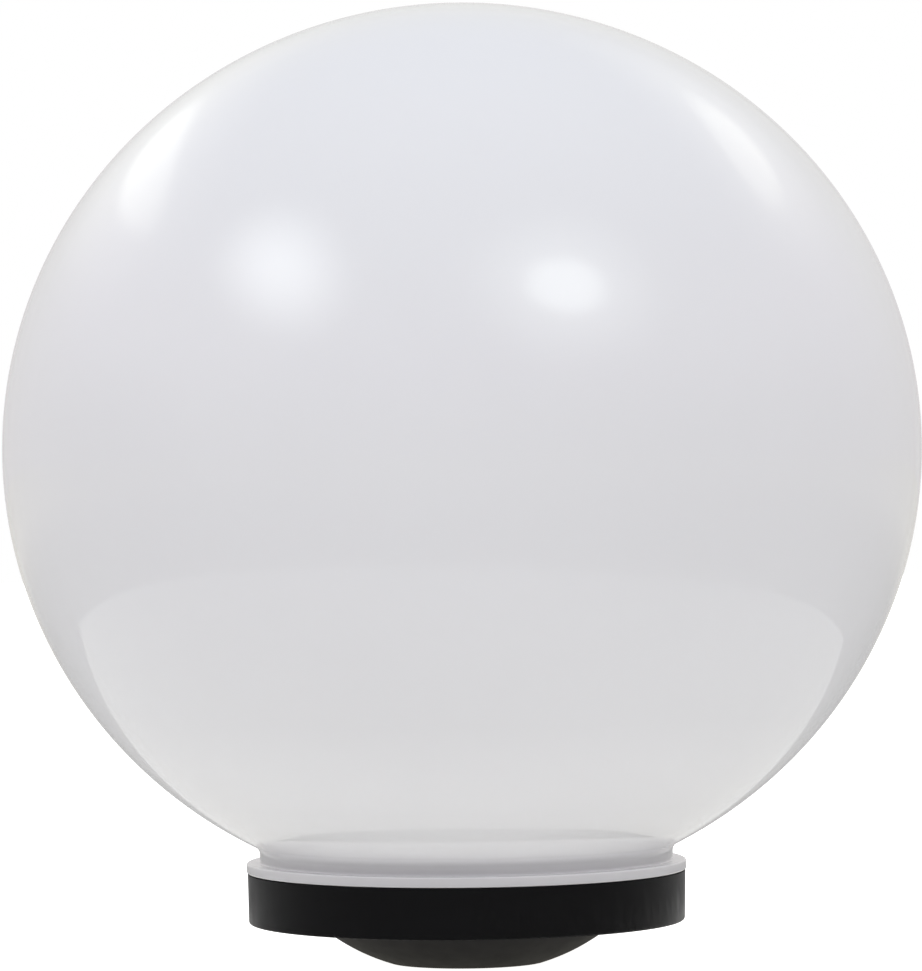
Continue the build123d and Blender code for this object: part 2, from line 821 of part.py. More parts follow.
with BuildPart() as shell_rivets:
    with Locations((0, 0, shell_flange_top)):
        with PolarLocations(rivet_ring_radius, 2):
            Cylinder(rivet_head_radius, rivet_head_height, align=MIN_Z)
            Cylinder(rivet_radius, rivet_length, align=MAX_Z)

strip_middle = niche_inner_offset + contact_sheet / 2
strip_floor = holder_floor + contact_sheet / 2
strip_end = holder_floor - contact_drop
spring_top = strip_floor + contact_spring_rise - contact_sheet / 2

with BuildPart() as centre_contact:
    with BuildSketch(Plane.YZ):
        with BuildLine():
            FilletPolyline(
                (-spring_tail_share * strip_middle, spring_top - contact_sheet),
                (0, spring_top),
                (spring_foot_share * strip_middle, strip_floor),
                (strip_middle, strip_floor),
                (strip_middle, strip_end),
                radius=contact_corner_radius,
            )
        trace(line_width=contact_sheet)
    extrude(amount=contact_width / 2, both=True)
    with BuildSketch(Plane.XZ.offset(-slot_outer)):
        with Locations((0, contact_screw_z)):
            Circle(contact_screw_radius + thread_play)
    extrude(amount=slot_outer - slot_inner, mode=Mode.SUBTRACT)

with BuildPart() as side_contact:
    with BuildSketch(Plane.YZ):
        with BuildLine():
            FilletPolyline(
                (side_tab_inset - shell_bore_radius, strip_floor + shell_sheet),
                (-strip_middle, strip_floor + shell_sheet),
                (-strip_middle, strip_end),
                radius=contact_corner_radius,
            )
        trace(line_width=contact_sheet)
    extrude(amount=contact_width / 2, both=True)
    with BuildSketch(Plane.XZ.offset(slot_inner)):
        with Locations((0, contact_screw_z)):
            Circle(contact_screw_radius + thread_play)
    extrude(amount=slot_outer - slot_inner, mode=Mode.SUBTRACT)

contact_screw = make_screw(
    contact_screw_radius,
    contact_screw_length,
    contact_screw_head_radius,
    contact_screw_head_height,
)
with BuildPart() as contact_screws:
    with Locations(
        Location((0, screw_clamp_face, contact_screw_z), (-90, 0, 0)),
        Location((0, -screw_clamp_face, contact_screw_z), (90, 0, 0)),
    ):
        add(contact_screw)

holder_screw = make_screw(
    holder_screw_radius, holder_screw_length, holder_screw_head_radius, holder_screw_head_height
)
with BuildPart() as holder_screws:
    with Locations(
        Location((holder_screw_x, 0, bridge_top - bridge_thickness), (180, 0, 0)),
        Location((-holder_screw_x, 0, bridge_top - bridge_thickness), (180, 0, 0)),
    ):
        add(holder_screw)

# ------------------------------------------------------------------ terminal block
block_half_width = lead_offset + insert_radius + insert_play + block_end_wall
clamp_screw_tip = block_centre_x + ferrule_radius + ferrule_play
clamp_screw_length = block_outer_x - clamp_screw_recess - clamp_screw_tip

with BuildPart() as terminal_block:
    with BuildSketch(Plane.XY.offset(block_bottom)):
        with Locations((block_inner_x, 0)):
            Rectangle(block_depth, 2 * block_half_width, align=(Align.MIN, Align.CENTER))
    extrude(amount=block_height)
    fillet(
        terminal_block.edges().filter_by(Axis.Z).group_by(Axis.X)[-1]
        + terminal_block.faces().sort_by(Axis.X)[-1].edges().filter_by(Axis.Y),
        block_edge_radius,
    )
    with BuildSketch(Plane.XY.offset(block_bottom)):
        with Locations((block_centre_x, lead_offset), (block_centre_x, -lead_offset)):
            Circle(insert_radius + insert_play)
    extrude(amount=block_height, mode=Mode.SUBTRACT)
    with BuildSketch(Plane.YZ.offset(block_centre_x)):
        with Locations((lead_offset, block_centre_z), (-lead_offset, block_centre_z)):
            with GridLocations(1, clamp_screw_spacing, 1, 2):
                Circle(clamp_hole_radius)
    extrude(amount=block_depth / 2, mode=Mode.SUBTRACT)
    with BuildSketch(Plane.YZ.offset(block_inner_x)):
        with Locations((0, block_centre_z)):
            Circle(block_screw_radius + screw_hole_play)
    extrude(amount=block_depth, mode=Mode.SUBTRACT)
    with BuildSketch(Plane.YZ.offset(block_outer_x - block_screw_sink)):
        with Locations((0, block_centre_z)):
            Circle(block_screw_head_radius + screw_hole_play)
    extrude(amount=block_screw_sink, mode=Mode.SUBTRACT)

with BuildPart() as terminal_inserts:
    with BuildSketch(Plane.XY.offset(insert_top)):
        with Locations((block_centre_x, lead_offset), (block_centre_x, -lead_offset)):
            Circle(insert_radius)
            Circle(insert_bore_radius, mode=Mode.SUBTRACT)
    extrude(amount=-insert_length)
    with BuildSketch(Plane.YZ.offset(block_centre_x)):
        with Locations((lead_offset, block_centre_z), (-lead_offset, block_centre_z)):
            with GridLocations(1, clamp_screw_spacing, 1, 2):
                Circle(clamp_screw_radius + thread_play)
    extrude(amount=block_depth / 2, mode=Mode.SUBTRACT)

with BuildPart() as terminal_screws:
    with BuildSketch(Plane.YZ.offset(clamp_screw_tip)):
        with Locations((lead_offset, block_centre_z), (-lead_offset, block_centre_z)):
            with GridLocations(1, clamp_screw_spacing, 1, 2):
                Circle(clamp_screw_radius)
    extrude(amount=clamp_screw_length)
    with BuildSketch(Plane.YZ.offset(clamp_screw_tip + clamp_screw_length)):
        with Locations((lead_offset, block_centre_z), (-lead_offset, block_centre_z)):
            with GridLocations(1, clamp_screw_spacing, 1, 2):
                Rectangle(clamp_slot_length, clamp_slot_width)
    extrude(amount=-clamp_slot_width, mode=Mode.SUBTRACT)

block_screw_solid = make_screw(
    block_screw_radius, block_screw_length, block_screw_head_radius, block_screw_head_height
)
with BuildPart() as block_screw:
    with Locations(Location((block_outer_x - block_screw_sink, 0, block_centre_z), (0, 90, 0))):
        add(block_screw_solid)

# ------------------------------------------------------------------ leads


def make_lead(offset):
    """Insulated lead in the plane y = offset, from the block up and in to its contact."""
    with BuildPart() as lead:
        with BuildLine() as route:
            FilletPolyline(
                (block_centre_x, offset, lead_start_z),
                (block_centre_x, offset, lead_run_z),
                (lead_end_x, offset, lead_run_z),
                radius=lead_bend_radius,
            )
        with BuildSketch(Plane(origin=route.line @ 0, z_dir=route.line % 0)):
            Circle(lead_radius)
        sweep(path=route.line)
    drawn = pi * lead_radius**2 * route.wire().length
    print(f"lead at y={offset:.2f}: bend {lead_bend_radius} mm on a {lead_radius} mm wire,")
    print(f"  volume {lead.part.volume:.2f} mm3, section x length {drawn:.2f} mm3")
    return lead.part


with BuildPart() as live_lead:
    add(make_lead(lead_offset))

with BuildPart() as neutral_lead:
    add(make_lead(-lead_offset))

with BuildPart() as lead_ferrules:
    with BuildSketch(Plane.XY.offset(lead_start_z)):
        with Locations((block_centre_x, lead_offset), (block_centre_x, -lead_offset)):
            Circle(ferrule_radius)
    extrude(amount=-ferrule_length)
    with BuildSketch(Plane.YZ.offset(lead_end_x)):
        with Locations((lead_offset, lead_run_z), (-lead_offset, lead_run_z)):
            Circle(ferrule_radius)
    extrude(amount=-ferrule_length)

# ------------------------------------------------------------------ lamp bulb
insulator_radius = cap_bore_radius - insulator_play

with BuildPart() as bulb_eyelet:
    with BuildSketch(Plane.XY.offset(bulb_tip)):
        Circle(eyelet_radius)
    extrude(amount=eyelet_thickness)
    fillet(edges_at(bulb_eyelet, eyelet_radius, bulb_tip), eyelet_edge_radius)

with BuildPart() as bulb_insulator:
    with BuildSketch(Plane.XZ):
        with BuildLine():
            eyelet_seat = eyelet_radius + eyelet_play
            Polyline(
                (0, eyelet_top),
                (eyelet_seat, eyelet_top),
                (eyelet_seat, insulator_bottom),
                (eyelet_seat + insulator_rim, insulator_bottom),
                (insulator_radius, insulator_shoulder),
                (insulator_radius, insulator_shoulder + insulator_spigot),
                (0, insulator_shoulder + insulator_spigot),
                close=True,
            )
        make_face()
    revolve(axis=Axis.Z)

cap_bead_start = cap_bottom + cap_thread_start
shell_bead_start = holder_floor + shell_thread_start
bead_phase = (cap_bead_start - shell_bead_start - thread_pitch / 2) / thread_pitch

with BuildPart() as cap_blank:
    with BuildSketch(Plane.XZ):
        with BuildLine():
            Polyline(
                (cap_bore_radius, cap_bottom),
                (cap_root_radius, cap_bottom),
                (cap_root_radius, cap_top),
                (cap_bore_radius, cap_top),
                close=True,
            )
        make_face()
    revolve(axis=Axis.Z)
    with BuildLine() as cap_helix:
        Helix(
            thread_pitch,
            cap_thread_length,
            cap_bead_centre_radius,
            center=(0, 0, cap_bead_start),
        )
    with BuildSketch(Plane(origin=cap_helix.line @ 0, z_dir=cap_helix.line % 0)):
        Circle(thread_bead_radius)
    sweep(path=cap_helix.line, is_frenet=True)

with BuildPart() as bulb_cap:
    add(cap_blank.part, rotation=(0, 0, 360 * bead_phase))

housing_spigot_radius = cap_bore_radius - insulator_play
housing_bore_radius = housing_spigot_radius - housing_wall
board_seat_radius = board_radius + board_play

with BuildPart() as bulb_housing:
    with BuildSketch(Plane.XZ):
        with BuildLine():
            Spline(
                (housing_foot_radius, housing_bottom),
                (housing_shoulder_radius, housing_bottom + housing_shoulder_height),
                (housing_top_radius, housing_top),
                tangents=((0, 1), (housing_flare, 1)),
            )
            Polyline(
                (housing_top_radius, housing_top),
                (board_seat_radius, housing_top),
                (board_seat_radius, board_bottom),
                (board_seat_radius - board_ledge, board_bottom),
            )
            Spline(
                (board_seat_radius - board_ledge, board_bottom),
                (
                    housing_shoulder_radius - housing_wall,
                    housing_bottom + housing_shoulder_height,
                ),
                (housing_bore_radius, housing_bottom),
                tangents=((-housing_inner_flare, -1), (0, -1)),
            )
            Polyline(
                (housing_bore_radius, housing_bottom),
                (housing_bore_radius, housing_bottom - housing_spigot),
                (housing_spigot_radius, housing_bottom - housing_spigot),
                (housing_spigot_radius, housing_bottom),
                (housing_foot_radius, housing_bottom),
            )
        make_face()
    revolve(axis=Axis.Z)

with BuildPart() as led_board:
    with BuildSketch(Plane.XY.offset(board_bottom)):
        Circle(board_radius)
        with GridLocations(pin_spacing, 1, 2, 1):
            Circle(pin_radius + pin_play, mode=Mode.SUBTRACT)
    extrude(amount=board_thickness)

with BuildPart() as led_chips:
    with BuildSketch(Plane.XY.offset(board_top)):
        with PolarLocations(chip_ring_radius, chip_count):
            Rectangle(chip_width, chip_length)
    extrude(amount=chip_thickness)

diffuser_bore = diffuser_radius - diffuser_wall
diffuser_spigot_bore = board_radius - diffuser_spigot_wall
diffuser_lip_radius = housing_top_radius - diffuser_lip_inset

with BuildPart() as bulb_diffuser:
    with Locations((0, 0, diffuser_centre)):
        Sphere(diffuser_radius)
        Sphere(diffuser_bore, mode=Mode.SUBTRACT)
    with BuildSketch(Plane.XY.offset(housing_top)):
        Circle(2 * diffuser_radius)
    extrude(amount=-2 * diffuser_radius, mode=Mode.SUBTRACT)
    with BuildSketch(Plane.XY.offset(housing_top)):
        Circle(diffuser_lip_radius)
        Circle(diffuser_spigot_bore, mode=Mode.SUBTRACT)
    extrude(amount=diffuser_spigot_wall)
    with BuildSketch(Plane.XY.offset(housing_top)):
        Circle(board_radius)
        Circle(diffuser_spigot_bore, mode=Mode.SUBTRACT)
    extrude(amount=-diffuser_spigot_length)

driver_bottom = housing_bottom + driver_foot
driver_top = board_bottom - driver_top_gap
driver_height = driver_top - driver_bottom

with BuildPart() as driver_board:
    with BuildSketch(Plane.XZ):
        with Locations((0, driver_bottom)):
            Rectangle(driver_width, driver_height, align=(Align.CENTER, Align.MIN))
    extrude(amount=driver_thickness / 2, both=True)
    with BuildSketch(Plane.XZ.offset(driver_thickness / 2)):
        with Locations((0, driver_top - coil_height)):
            Rectangle(coil_width, coil_height)
    extrude(amount=coil_depth)
    capacitor_offset = driver_thickness / 2 - capacitor_sink + capacitor_radius
    with Locations((0, capacitor_offset, driver_bottom + capacitor_radius)):
        Cylinder(capacitor_radius, capacitor_length, align=MIN_Z)
    with BuildSketch(Plane.XY.offset(driver_top - coil_height / 2)):
        with GridLocations(pin_spacing, 1, 2, 1):
            Circle(pin_radius)
    extrude(amount=board_top - driver_top + coil_height / 2)

# ------------------------------------------------------------------ STEP files
pieces = {
    "globe": globe,
    "neck_gasket": neck_gasket,
    "base_tray": base_tray,
    "pole_socket": pole_socket,
    "base_screws": base_screws,
    "set_screws": set_screws,
    "set_screw_nuts": set_screw_nuts,
    "lamp_bridge": lamp_bridge,
    "bridge_screws": bridge_screws,
    "gland_body": gland_body,
    "gland_seal": gland_seal,
    "gland_nut": gland_nut,
    "gland_locknut": gland_locknut,
    "holder_body": holder_body,
    "holder_shell": holder_shell,
    "shell_rivets": shell_rivets,
    "centre_contact": centre_contact,
    "side_contact": side_contact,
    "contact_screws": contact_screws,
    "holder_screws": holder_screws,
    "terminal_block": terminal_block,
    "terminal_inserts": terminal_inserts,
    "terminal_screws": terminal_screws,
    "block_screw": block_screw,
    "live_lead": live_lead,
    "neutral_lead": neutral_lead,
    "lead_ferrules": lead_ferrules,
    "bulb_eyelet": bulb_eyelet,
    "bulb_insulator": bulb_insulator,
    "bulb_cap": bulb_cap,
    "bulb_housing": bulb_housing,
    "bulb_diffuser": bulb_diffuser,
    "led_board": led_board,
    "led_chips": led_chips,
    "driver_board": driver_board,
}

os.makedirs("parts", exist_ok=True)
for name, piece in pieces.items():
    piece.part.label = name
    export_step(piece.part, f"parts/{name}.step")
    box = piece.part.bounding_box()
    print(
        f"{name:18} solids {len(piece.part.solids())} valid {piece.part.is_valid}"
        f" volume {piece.part.volume:11.1f} z {box.min.Z:7.2f} {box.max.Z:7.2f}"
    )
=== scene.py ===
"""Garden globe light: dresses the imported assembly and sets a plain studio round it."""

import logging
import math
from dataclasses import dataclass
from enum import Enum

import bmesh
import bpy
from mathutils import Matrix, Vector


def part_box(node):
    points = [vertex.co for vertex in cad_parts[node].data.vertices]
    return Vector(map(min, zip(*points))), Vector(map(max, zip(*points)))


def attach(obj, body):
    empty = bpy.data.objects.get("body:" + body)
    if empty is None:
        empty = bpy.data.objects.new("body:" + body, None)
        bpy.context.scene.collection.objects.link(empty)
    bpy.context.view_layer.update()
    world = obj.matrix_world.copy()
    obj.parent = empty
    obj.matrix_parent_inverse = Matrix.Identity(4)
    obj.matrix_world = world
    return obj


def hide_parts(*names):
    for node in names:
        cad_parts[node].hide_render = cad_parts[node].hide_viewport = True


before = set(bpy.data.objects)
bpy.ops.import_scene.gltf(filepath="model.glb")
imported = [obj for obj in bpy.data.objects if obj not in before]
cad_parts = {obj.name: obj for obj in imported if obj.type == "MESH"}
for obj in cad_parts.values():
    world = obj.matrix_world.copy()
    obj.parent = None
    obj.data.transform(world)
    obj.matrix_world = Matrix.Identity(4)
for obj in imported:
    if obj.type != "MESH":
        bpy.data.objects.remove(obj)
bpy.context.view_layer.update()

LOG = logging.getLogger("garden_globe_light")

MM = 0.001
PHOTO_HEIGHT = 971

Point = tuple[float, float]
Colour = tuple[float, float, float]
Inputs = dict[str | int, object]

WHITE = (1.0, 1.0, 1.0, 1.0)

# Sockets of a Mix node that mixes colours
MIX_LOW, MIX_HIGH, MIX_RESULT = 6, 7, 2

# Where a noise factor counts as low and as high
NOISE_SPAN = (0.2, 0.8)

# Octaves of the noise behind each kind of variation
COLOUR_DETAIL, GLOSS_DETAIL, RELIEF_DETAIL = 3, 4, 2
LEAST_ROUGHNESS = 0.02

# Middle of a lamp's own square of coordinates, and the radius of its rim there
LAMP_MIDDLE = 0.5

# Points nearer than these, in metres, become one
LATHE_WELD, CLOSED_WELD, CAD_WELD = 1e-6, 1e-7, 2e-6
ON_AXIS = 1e-9

# Angles in degrees: below the first a face counts as flat, past the second an edge is sharp
FLAT_ANGLE = 0.5
CAD_SHARP_ANGLE = 32.0


# ---------------------------------------------------------------------------
# Node graphs and finishes
# ---------------------------------------------------------------------------


def opaque(colour: Colour) -> tuple[float, float, float, float]:
    """A colour with full alpha."""
    return (*colour, 1.0)


def shade(colour: Colour, factor: float) -> Colour:
    """A colour made lighter or darker by a factor."""
    return (colour[0] * factor, colour[1] * factor, colour[2] * factor)


class NodeGraph:
    """A node tree, with short calls to add and join its nodes."""

    def __init__(self, tree: bpy.types.NodeTree) -> None:
        """Work on a tree that is already there."""
        self.tree = tree

    def add(
        self, kind: str, inputs: Inputs | None = None, **settings: object
    ) -> bpy.types.Node:
        """Add a node, set its properties and fill its inputs.

        Args:
            kind: The node's type name.
            inputs: A value, or another node's output, for each input by name or number.
            **settings: Properties of the node.

        Returns:
            The new node.
        """
        node = self.tree.nodes.new(kind)
        for key, value in settings.items():
            setattr(node, key, value)
        for key, value in (inputs or {}).items():
            if isinstance(value, bpy.types.NodeSocket):
                self.join(value, node.inputs[key])
            else:
                node.inputs[key].default_value = value
        return node

    def join(self, source: bpy.types.NodeSocket, target: bpy.types.NodeSocket) -> None:
        """Link one node's output to another's input."""
        self.tree.links.new(source, target)

    def calculate(self, operation: str, *values: object) -> bpy.types.NodeSocket:
        """Add a math node.

        Args:
            operation: What it does.
            *values: Its inputs, as numbers or other nodes' outputs.

        Returns:
            The result's socket.
        """
        node = self.add("ShaderNodeMath", dict(enumerate(values)), operation=operation)
        return node.outputs["Value"]

    def map_range(
        self,
        value: bpy.types.NodeSocket,
        source: Point,
        target: Point = (0.0, 1.0),
        curve: str = "SMOOTHSTEP",
    ) -> bpy.types.NodeSocket:
        """Map a value from one range to another.

        Args:
            value: The value's socket.
            source: Both ends of its range.
            target: What they become.
            curve: How it goes from one end to the other.

        Returns:
            The mapped value's socket.
        """
        inputs = {
            "Value": value,
            "From Min": source[0],
            "From Max": source[1],
            "To Min": target[0],
            "To Max": target[1],
        }
        node = self.add("ShaderNodeMapRange", inputs, interpolation_type=curve)
        return node.outputs["Result"]

    def blend(
        self, factor: object, low: object, high: object, mode: str = "MIX"
    ) -> bpy.types.NodeSocket:
        """Mix two colours.

        Args:
            factor: Share of the second colour, as a number or a socket.
            low: The first colour, as four numbers or a socket.
            high: The second colour, as four numbers or a socket.
            mode: How they are mixed.

        Returns:
            The mixed colour's socket.
        """
        inputs = {"Factor": factor, MIX_LOW: low, MIX_HIGH: high}
        node = self.add("ShaderNodeMix", inputs, data_type="RGBA", blend_type=mode)
        return node.outputs[MIX_RESULT]


class ShaderGraph(NodeGraph):
    """A material's node tree."""

    def __init__(self, name: str) -> None:
        """Start an empty material with its output node.

        Args:
            name: The material's name.
        """
        self.material = bpy.data.materials.new(name)
        self.material.use_nodes = True
        super().__init__(self.material.node_tree)
        self.tree.nodes.clear()
        self.output = self.add("ShaderNodeOutputMaterial")

    def object_noise(self, scale: float, detail: float) -> bpy.types.NodeSocket:
        """Noise on the object's own coordinates.

        Args:
            scale: Features per metre.
            detail: Octaves of detail.

        Returns:
            The noise factor's socket.
        """
        place = self.add("ShaderNodeTexCoord")
        inputs = {"Vector": place.outputs["Object"], "Scale": scale, "Detail": detail}
        return self.add("ShaderNodeTexNoise", inputs).outputs["Fac"]

    def spread(self, noise: bpy.types.NodeSocket, low: float, high: float) -> bpy.types.NodeSocket:
        """Map a noise factor to a range."""
        return self.map_range(noise, NOISE_SPAN, (low, high), "SMOOTHERSTEP")

    def paint_light_and_shade_by_height(
        self, colour: bpy.types.NodeSocket, painted_light_and_shade: tuple[Point, ...]
    ) -> bpy.types.NodeSocket:
        """Paint light and shade into a colour by darkening it by a factor that changes with
        height.

        Args:
            colour: The colour's socket.
            painted_light_and_shade: Pairs of height in metres and factor of painted light and
                shade, from the lowest up.

        Returns:
            The new colour's socket.
        """
        low, high = painted_light_and_shade[0][0], painted_light_and_shade[-1][0]
        place = self.add("ShaderNodeTexCoord")
        split = self.add("ShaderNodeSeparateXYZ", {"Vector": place.outputs["Object"]})
        share = self.map_range(split.outputs["Z"], (low, high), curve="LINEAR")
        ramp = self.add("ShaderNodeValToRGB", {"Fac": share})
        stops = ramp.color_ramp.elements
        while len(stops) < len(painted_light_and_shade):
            stops.new(position=0.5)
        for i, (height, shade_factor) in enumerate(painted_light_and_shade):
            stops[i].position = (height - low) / (high - low)
            stops[i].color = opaque((shade_factor, shade_factor, shade_factor))
        return self.blend(1.0, colour, ramp.outputs["Color"], "MULTIPLY")


@dataclass(frozen=True)
class Finish:
    """A surface with small variations of colour, gloss and relief at a real scale, and, where
    given, light and shade painted into its colour by height.
    """

    name: str
    slot: str
    colour: Colour
    roughness: float = 0.4
    metallic: float = 0.0
    ior: float = 1.5
    colour_change: float = 0.04
    colour_scale: float = 40.0
    gloss_change: float = 0.04
    gloss_scale: float = 120.0
    relief: float = 0.05
    relief_depth: float = 0.05 * MM
    relief_scale: float = 1500.0
    coat: float = 0.0
    coat_roughness: float = 0.1
    subsurface: float = 0.0
    subsurface_scale: float = 4.0 * MM
    subsurface_tint: Colour = (1.0, 0.95, 0.9)
    # Painted light and shade: heights in metres, each with the factor that the colour is
    # multiplied by there
    painted_light_and_shade: tuple[Point, ...] = ()

    def material(self) -> bpy.types.Material:
        """Build the material, or give the one already built.

        Returns:
            The material.
        """
        made = bpy.data.materials.get(self.name)
        if made:
            return made
        graph = ShaderGraph(self.name)
        patches = graph.object_noise(self.colour_scale, COLOUR_DETAIL)
        low = shade(self.colour, 1 - self.colour_change)
        high = shade(self.colour, 1 + self.colour_change)
        colour = graph.blend(graph.spread(patches, 0.0, 1.0), opaque(low), opaque(high))
        # Light and shade painted into the colour by height
        if self.painted_light_and_shade:
            colour = graph.paint_light_and_shade_by_height(colour, self.painted_light_and_shade)
        smears = graph.object_noise(self.gloss_scale, GLOSS_DETAIL)
        smoothest = max(LEAST_ROUGHNESS, self.roughness - self.gloss_change)
        gloss = graph.spread(smears, smoothest, self.roughness + self.gloss_change)
        grain = graph.object_noise(self.relief_scale, RELIEF_DETAIL)
        bump = graph.add(
            "ShaderNodeBump",
            {"Height": grain, "Strength": self.relief, "Distance": self.relief_depth},
        )
        inputs = {
            "Base Color": colour,
            "Metallic": self.metallic,
            "Roughness": gloss,
            "IOR": self.ior,
            "Normal": bump.outputs["Normal"],
            "Coat Weight": self.coat,
            "Coat Roughness": self.coat_roughness,
        }
        if self.subsurface:
            inputs["Subsurface Weight"] = self.subsurface
            inputs["Subsurface Radius"] = self.subsurface_tint
            inputs["Subsurface Scale"] = self.subsurface_scale
        shader = graph.add("ShaderNodeBsdfPrincipled", inputs)
        graph.join(shader.outputs["BSDF"], graph.output.inputs["Surface"])
        return graph.material


OPAL_ACRYLIC = Finish(
    "opal_acrylic", "opal", (0.945, 0.945, 0.956), roughness=0.32, ior=1.2,
    colour_change=0.006, colour_scale=9.0, gloss_change=0.03, gloss_scale=14.0,
    relief=0.06, relief_depth=0.4 * MM, relief_scale=11.0, coat=1.0, coat_roughness=0.04,
    subsurface=0.15,
    # Painted light and shade by height, not a colour the acrylic has: the flange's side and the
    # neck are painted darker as shade under the globe, a painted lighter ring runs along the
    # flange's top edge, and the band just above the neck and the lower globe are painted lighter
    # than the globe's top
    painted_light_and_shade=(
        (40.2 * MM, 0.63),
        (40.5 * MM, 0.555),
        (43.5 * MM, 0.635),
        (44.2 * MM, 0.82),
        (44.6 * MM, 0.80),
        (45.3 * MM, 0.595),
        (48.3 * MM, 0.56),
        (49.0 * MM, 0.62),
        (50.7 * MM, 0.885),
        (52.6 * MM, 1.0),
        (56.0 * MM, 0.995),
        (72.0 * MM, 0.895),
        (110.0 * MM, 0.826),
    ),
)
MOULDED_BLACK = Finish(
    "moulded_black", "black_plastic", (0.0038, 0.0038, 0.0042), roughness=0.32, ior=1.16,
    colour_change=0.06, gloss_change=0.03, relief=0.25, relief_depth=0.06 * MM,
    relief_scale=2200.0,
)
DISH_BLACK = Finish(
    "dish_black", "black_plastic", (0.0145, 0.015, 0.0175), roughness=0.45,
    colour_change=0.06, relief=0.25, relief_depth=0.06 * MM, relief_scale=2200.0,
)
BLACK_RUBBER = Finish(
    "black_rubber", "black_rubber", (0.02, 0.02, 0.021), roughness=0.75, relief=0.3
)
BLACK_NYLON = Finish(
    "black_nylon", "black_nylon", (0.022, 0.022, 0.023), roughness=0.5, relief=0.2
)
WHITE_NYLON = Finish(
    "white_nylon", "white_nylon", (0.74, 0.73, 0.70), roughness=0.45, subsurface=0.1
)
ZINC_STEEL = Finish(
    "zinc_steel", "zinc_steel", (0.62, 0.63, 0.65), roughness=0.36, metallic=1.0,
    colour_change=0.1, colour_scale=300.0, gloss_change=0.06, gloss_scale=400.0, relief=0.15,
)
PORCELAIN = Finish(
    "porcelain", "porcelain", (0.80, 0.79, 0.74), roughness=0.34, coat=1.0, coat_roughness=0.05,
    colour_change=0.02, relief=0.3, relief_depth=0.1 * MM, relief_scale=260.0,
)
NICKEL = Finish(
    "nickel", "nickel_brass", (0.72, 0.70, 0.66), roughness=0.2, metallic=1.0,
    colour_change=0.05, colour_scale=150.0, gloss_change=0.06, relief=0.08,
)
BRASS = Finish(
    "brass", "brass", (0.78, 0.56, 0.24), roughness=0.21, metallic=1.0, colour_change=0.08,
    colour_scale=200.0, gloss_change=0.05, relief=0.1,
)
TINNED_COPPER = Finish(
    "tinned_copper", "tinned_copper", (0.70, 0.70, 0.69), roughness=0.35, metallic=1.0
)
BROWN_SLEEVE = Finish("brown_sleeve", "brown_insulation", (0.12, 0.045, 0.02))
BLUE_SLEEVE = Finish("blue_sleeve", "blue_insulation", (0.02, 0.11, 0.46))
BLACK_GLASS = Finish(
    "black_glass", "black_insulator", (0.012, 0.012, 0.014), roughness=0.12, relief=0.02
)
BULB_WHITE = Finish(
    "bulb_white", "white_nylon", (0.78, 0.78, 0.77), roughness=0.35, subsurface=0.1
)
BULB_OPAL = Finish(
    "bulb_opal", "diffuser_opal", (0.84, 0.84, 0.83), roughness=0.5, colour_change=0.01,
    subsurface=0.3,
)
BOARD_WHITE = Finish("board_white", "board_white", (0.80, 0.80, 0.79), roughness=0.35)
BOARD_GREEN = Finish("board_green", "board_green", (0.02, 0.16, 0.06), roughness=0.35)
LED_PHOSPHOR = Finish("led_phosphor", "led_yellow", (0.86, 0.62, 0.08), roughness=0.35)


# ---------------------------------------------------------------------------
# Profiles and meshes
# ---------------------------------------------------------------------------


class Profile:
    """A half section: points of radius and height, with rounded corners."""

    def __init__(self) -> None:
        """Start an empty profile."""
        self.corners: list[tuple[Vector, float]] = []

    def add(self, radius: float, height: float, rounding: float = 0.0) -> None:
        """Add a corner at a radius and a height, rounded by an arc."""
        self.corners.append((Vector((radius, height)), rounding))

    def ellipse(
        self, half_axes: Point, centre: float, opening: float, steps: int, upwards: bool = False
    ) -> None:
        """Add an ellipse between its top and the opening that is below its middle.

        Args:
            half_axes: Its horizontal and vertical half axes.
            centre: Height of its centre.
            opening: Radius of the opening.
            steps: Number of steps.
            upwards: Whether it runs from the opening up to the top, rather than down.
        """
        half_width, half_height = half_axes
        low = -math.acos(opening / half_width)
        turns = [low + (math.pi / 2 - low) * i / steps for i in range(steps + 1)]
        for turn in turns if upwards else reversed(turns):
            radius = half_width * math.cos(turn)
            self.add(0.0 if radius < ON_AXIS else radius, centre + half_height * math.sin(turn))

    def points(self, arc_steps: int = 6) -> list[Point]:
        """Give the profile's points, with each rounded corner as an arc.

        Args:
            arc_steps: Steps in each arc.

        Returns:
            The points, as radius and height.
        """
        result: list[Point] = []
        last = len(self.corners) - 1
        for i, (corner, rounding) in enumerate(self.corners):
            if not rounding or i in (0, last):
                result.append((corner.x, corner.y))
                continue
            back = (self.corners[i - 1][0] - corner).normalized()
            on = (self.corners[i + 1][0] - corner).normalized()
            half = back.angle(on) / 2
            reach = rounding / math.tan(half)
            hub = corner + (back + on).normalized() * (rounding / math.sin(half))
            start = (corner + back * reach - hub).normalized()
            end = (corner + on * reach - hub).normalized()
            for step in range(arc_steps + 1):
                spoke = start.slerp(end, step / arc_steps) * rounding
                result.append((hub.x + spoke.x, hub.y + spoke.y))
        return result


def add_object(name: str, data: bpy.types.ID) -> bpy.types.Object:
    """Make an object and link it to the scene.

    Args:
        name: The object's name.
        data: Its mesh, lamp or camera.

    Returns:
        The new object.
    """
    item = bpy.data.objects.new(name, data)
    bpy.context.scene.collection.objects.link(item)
    return item


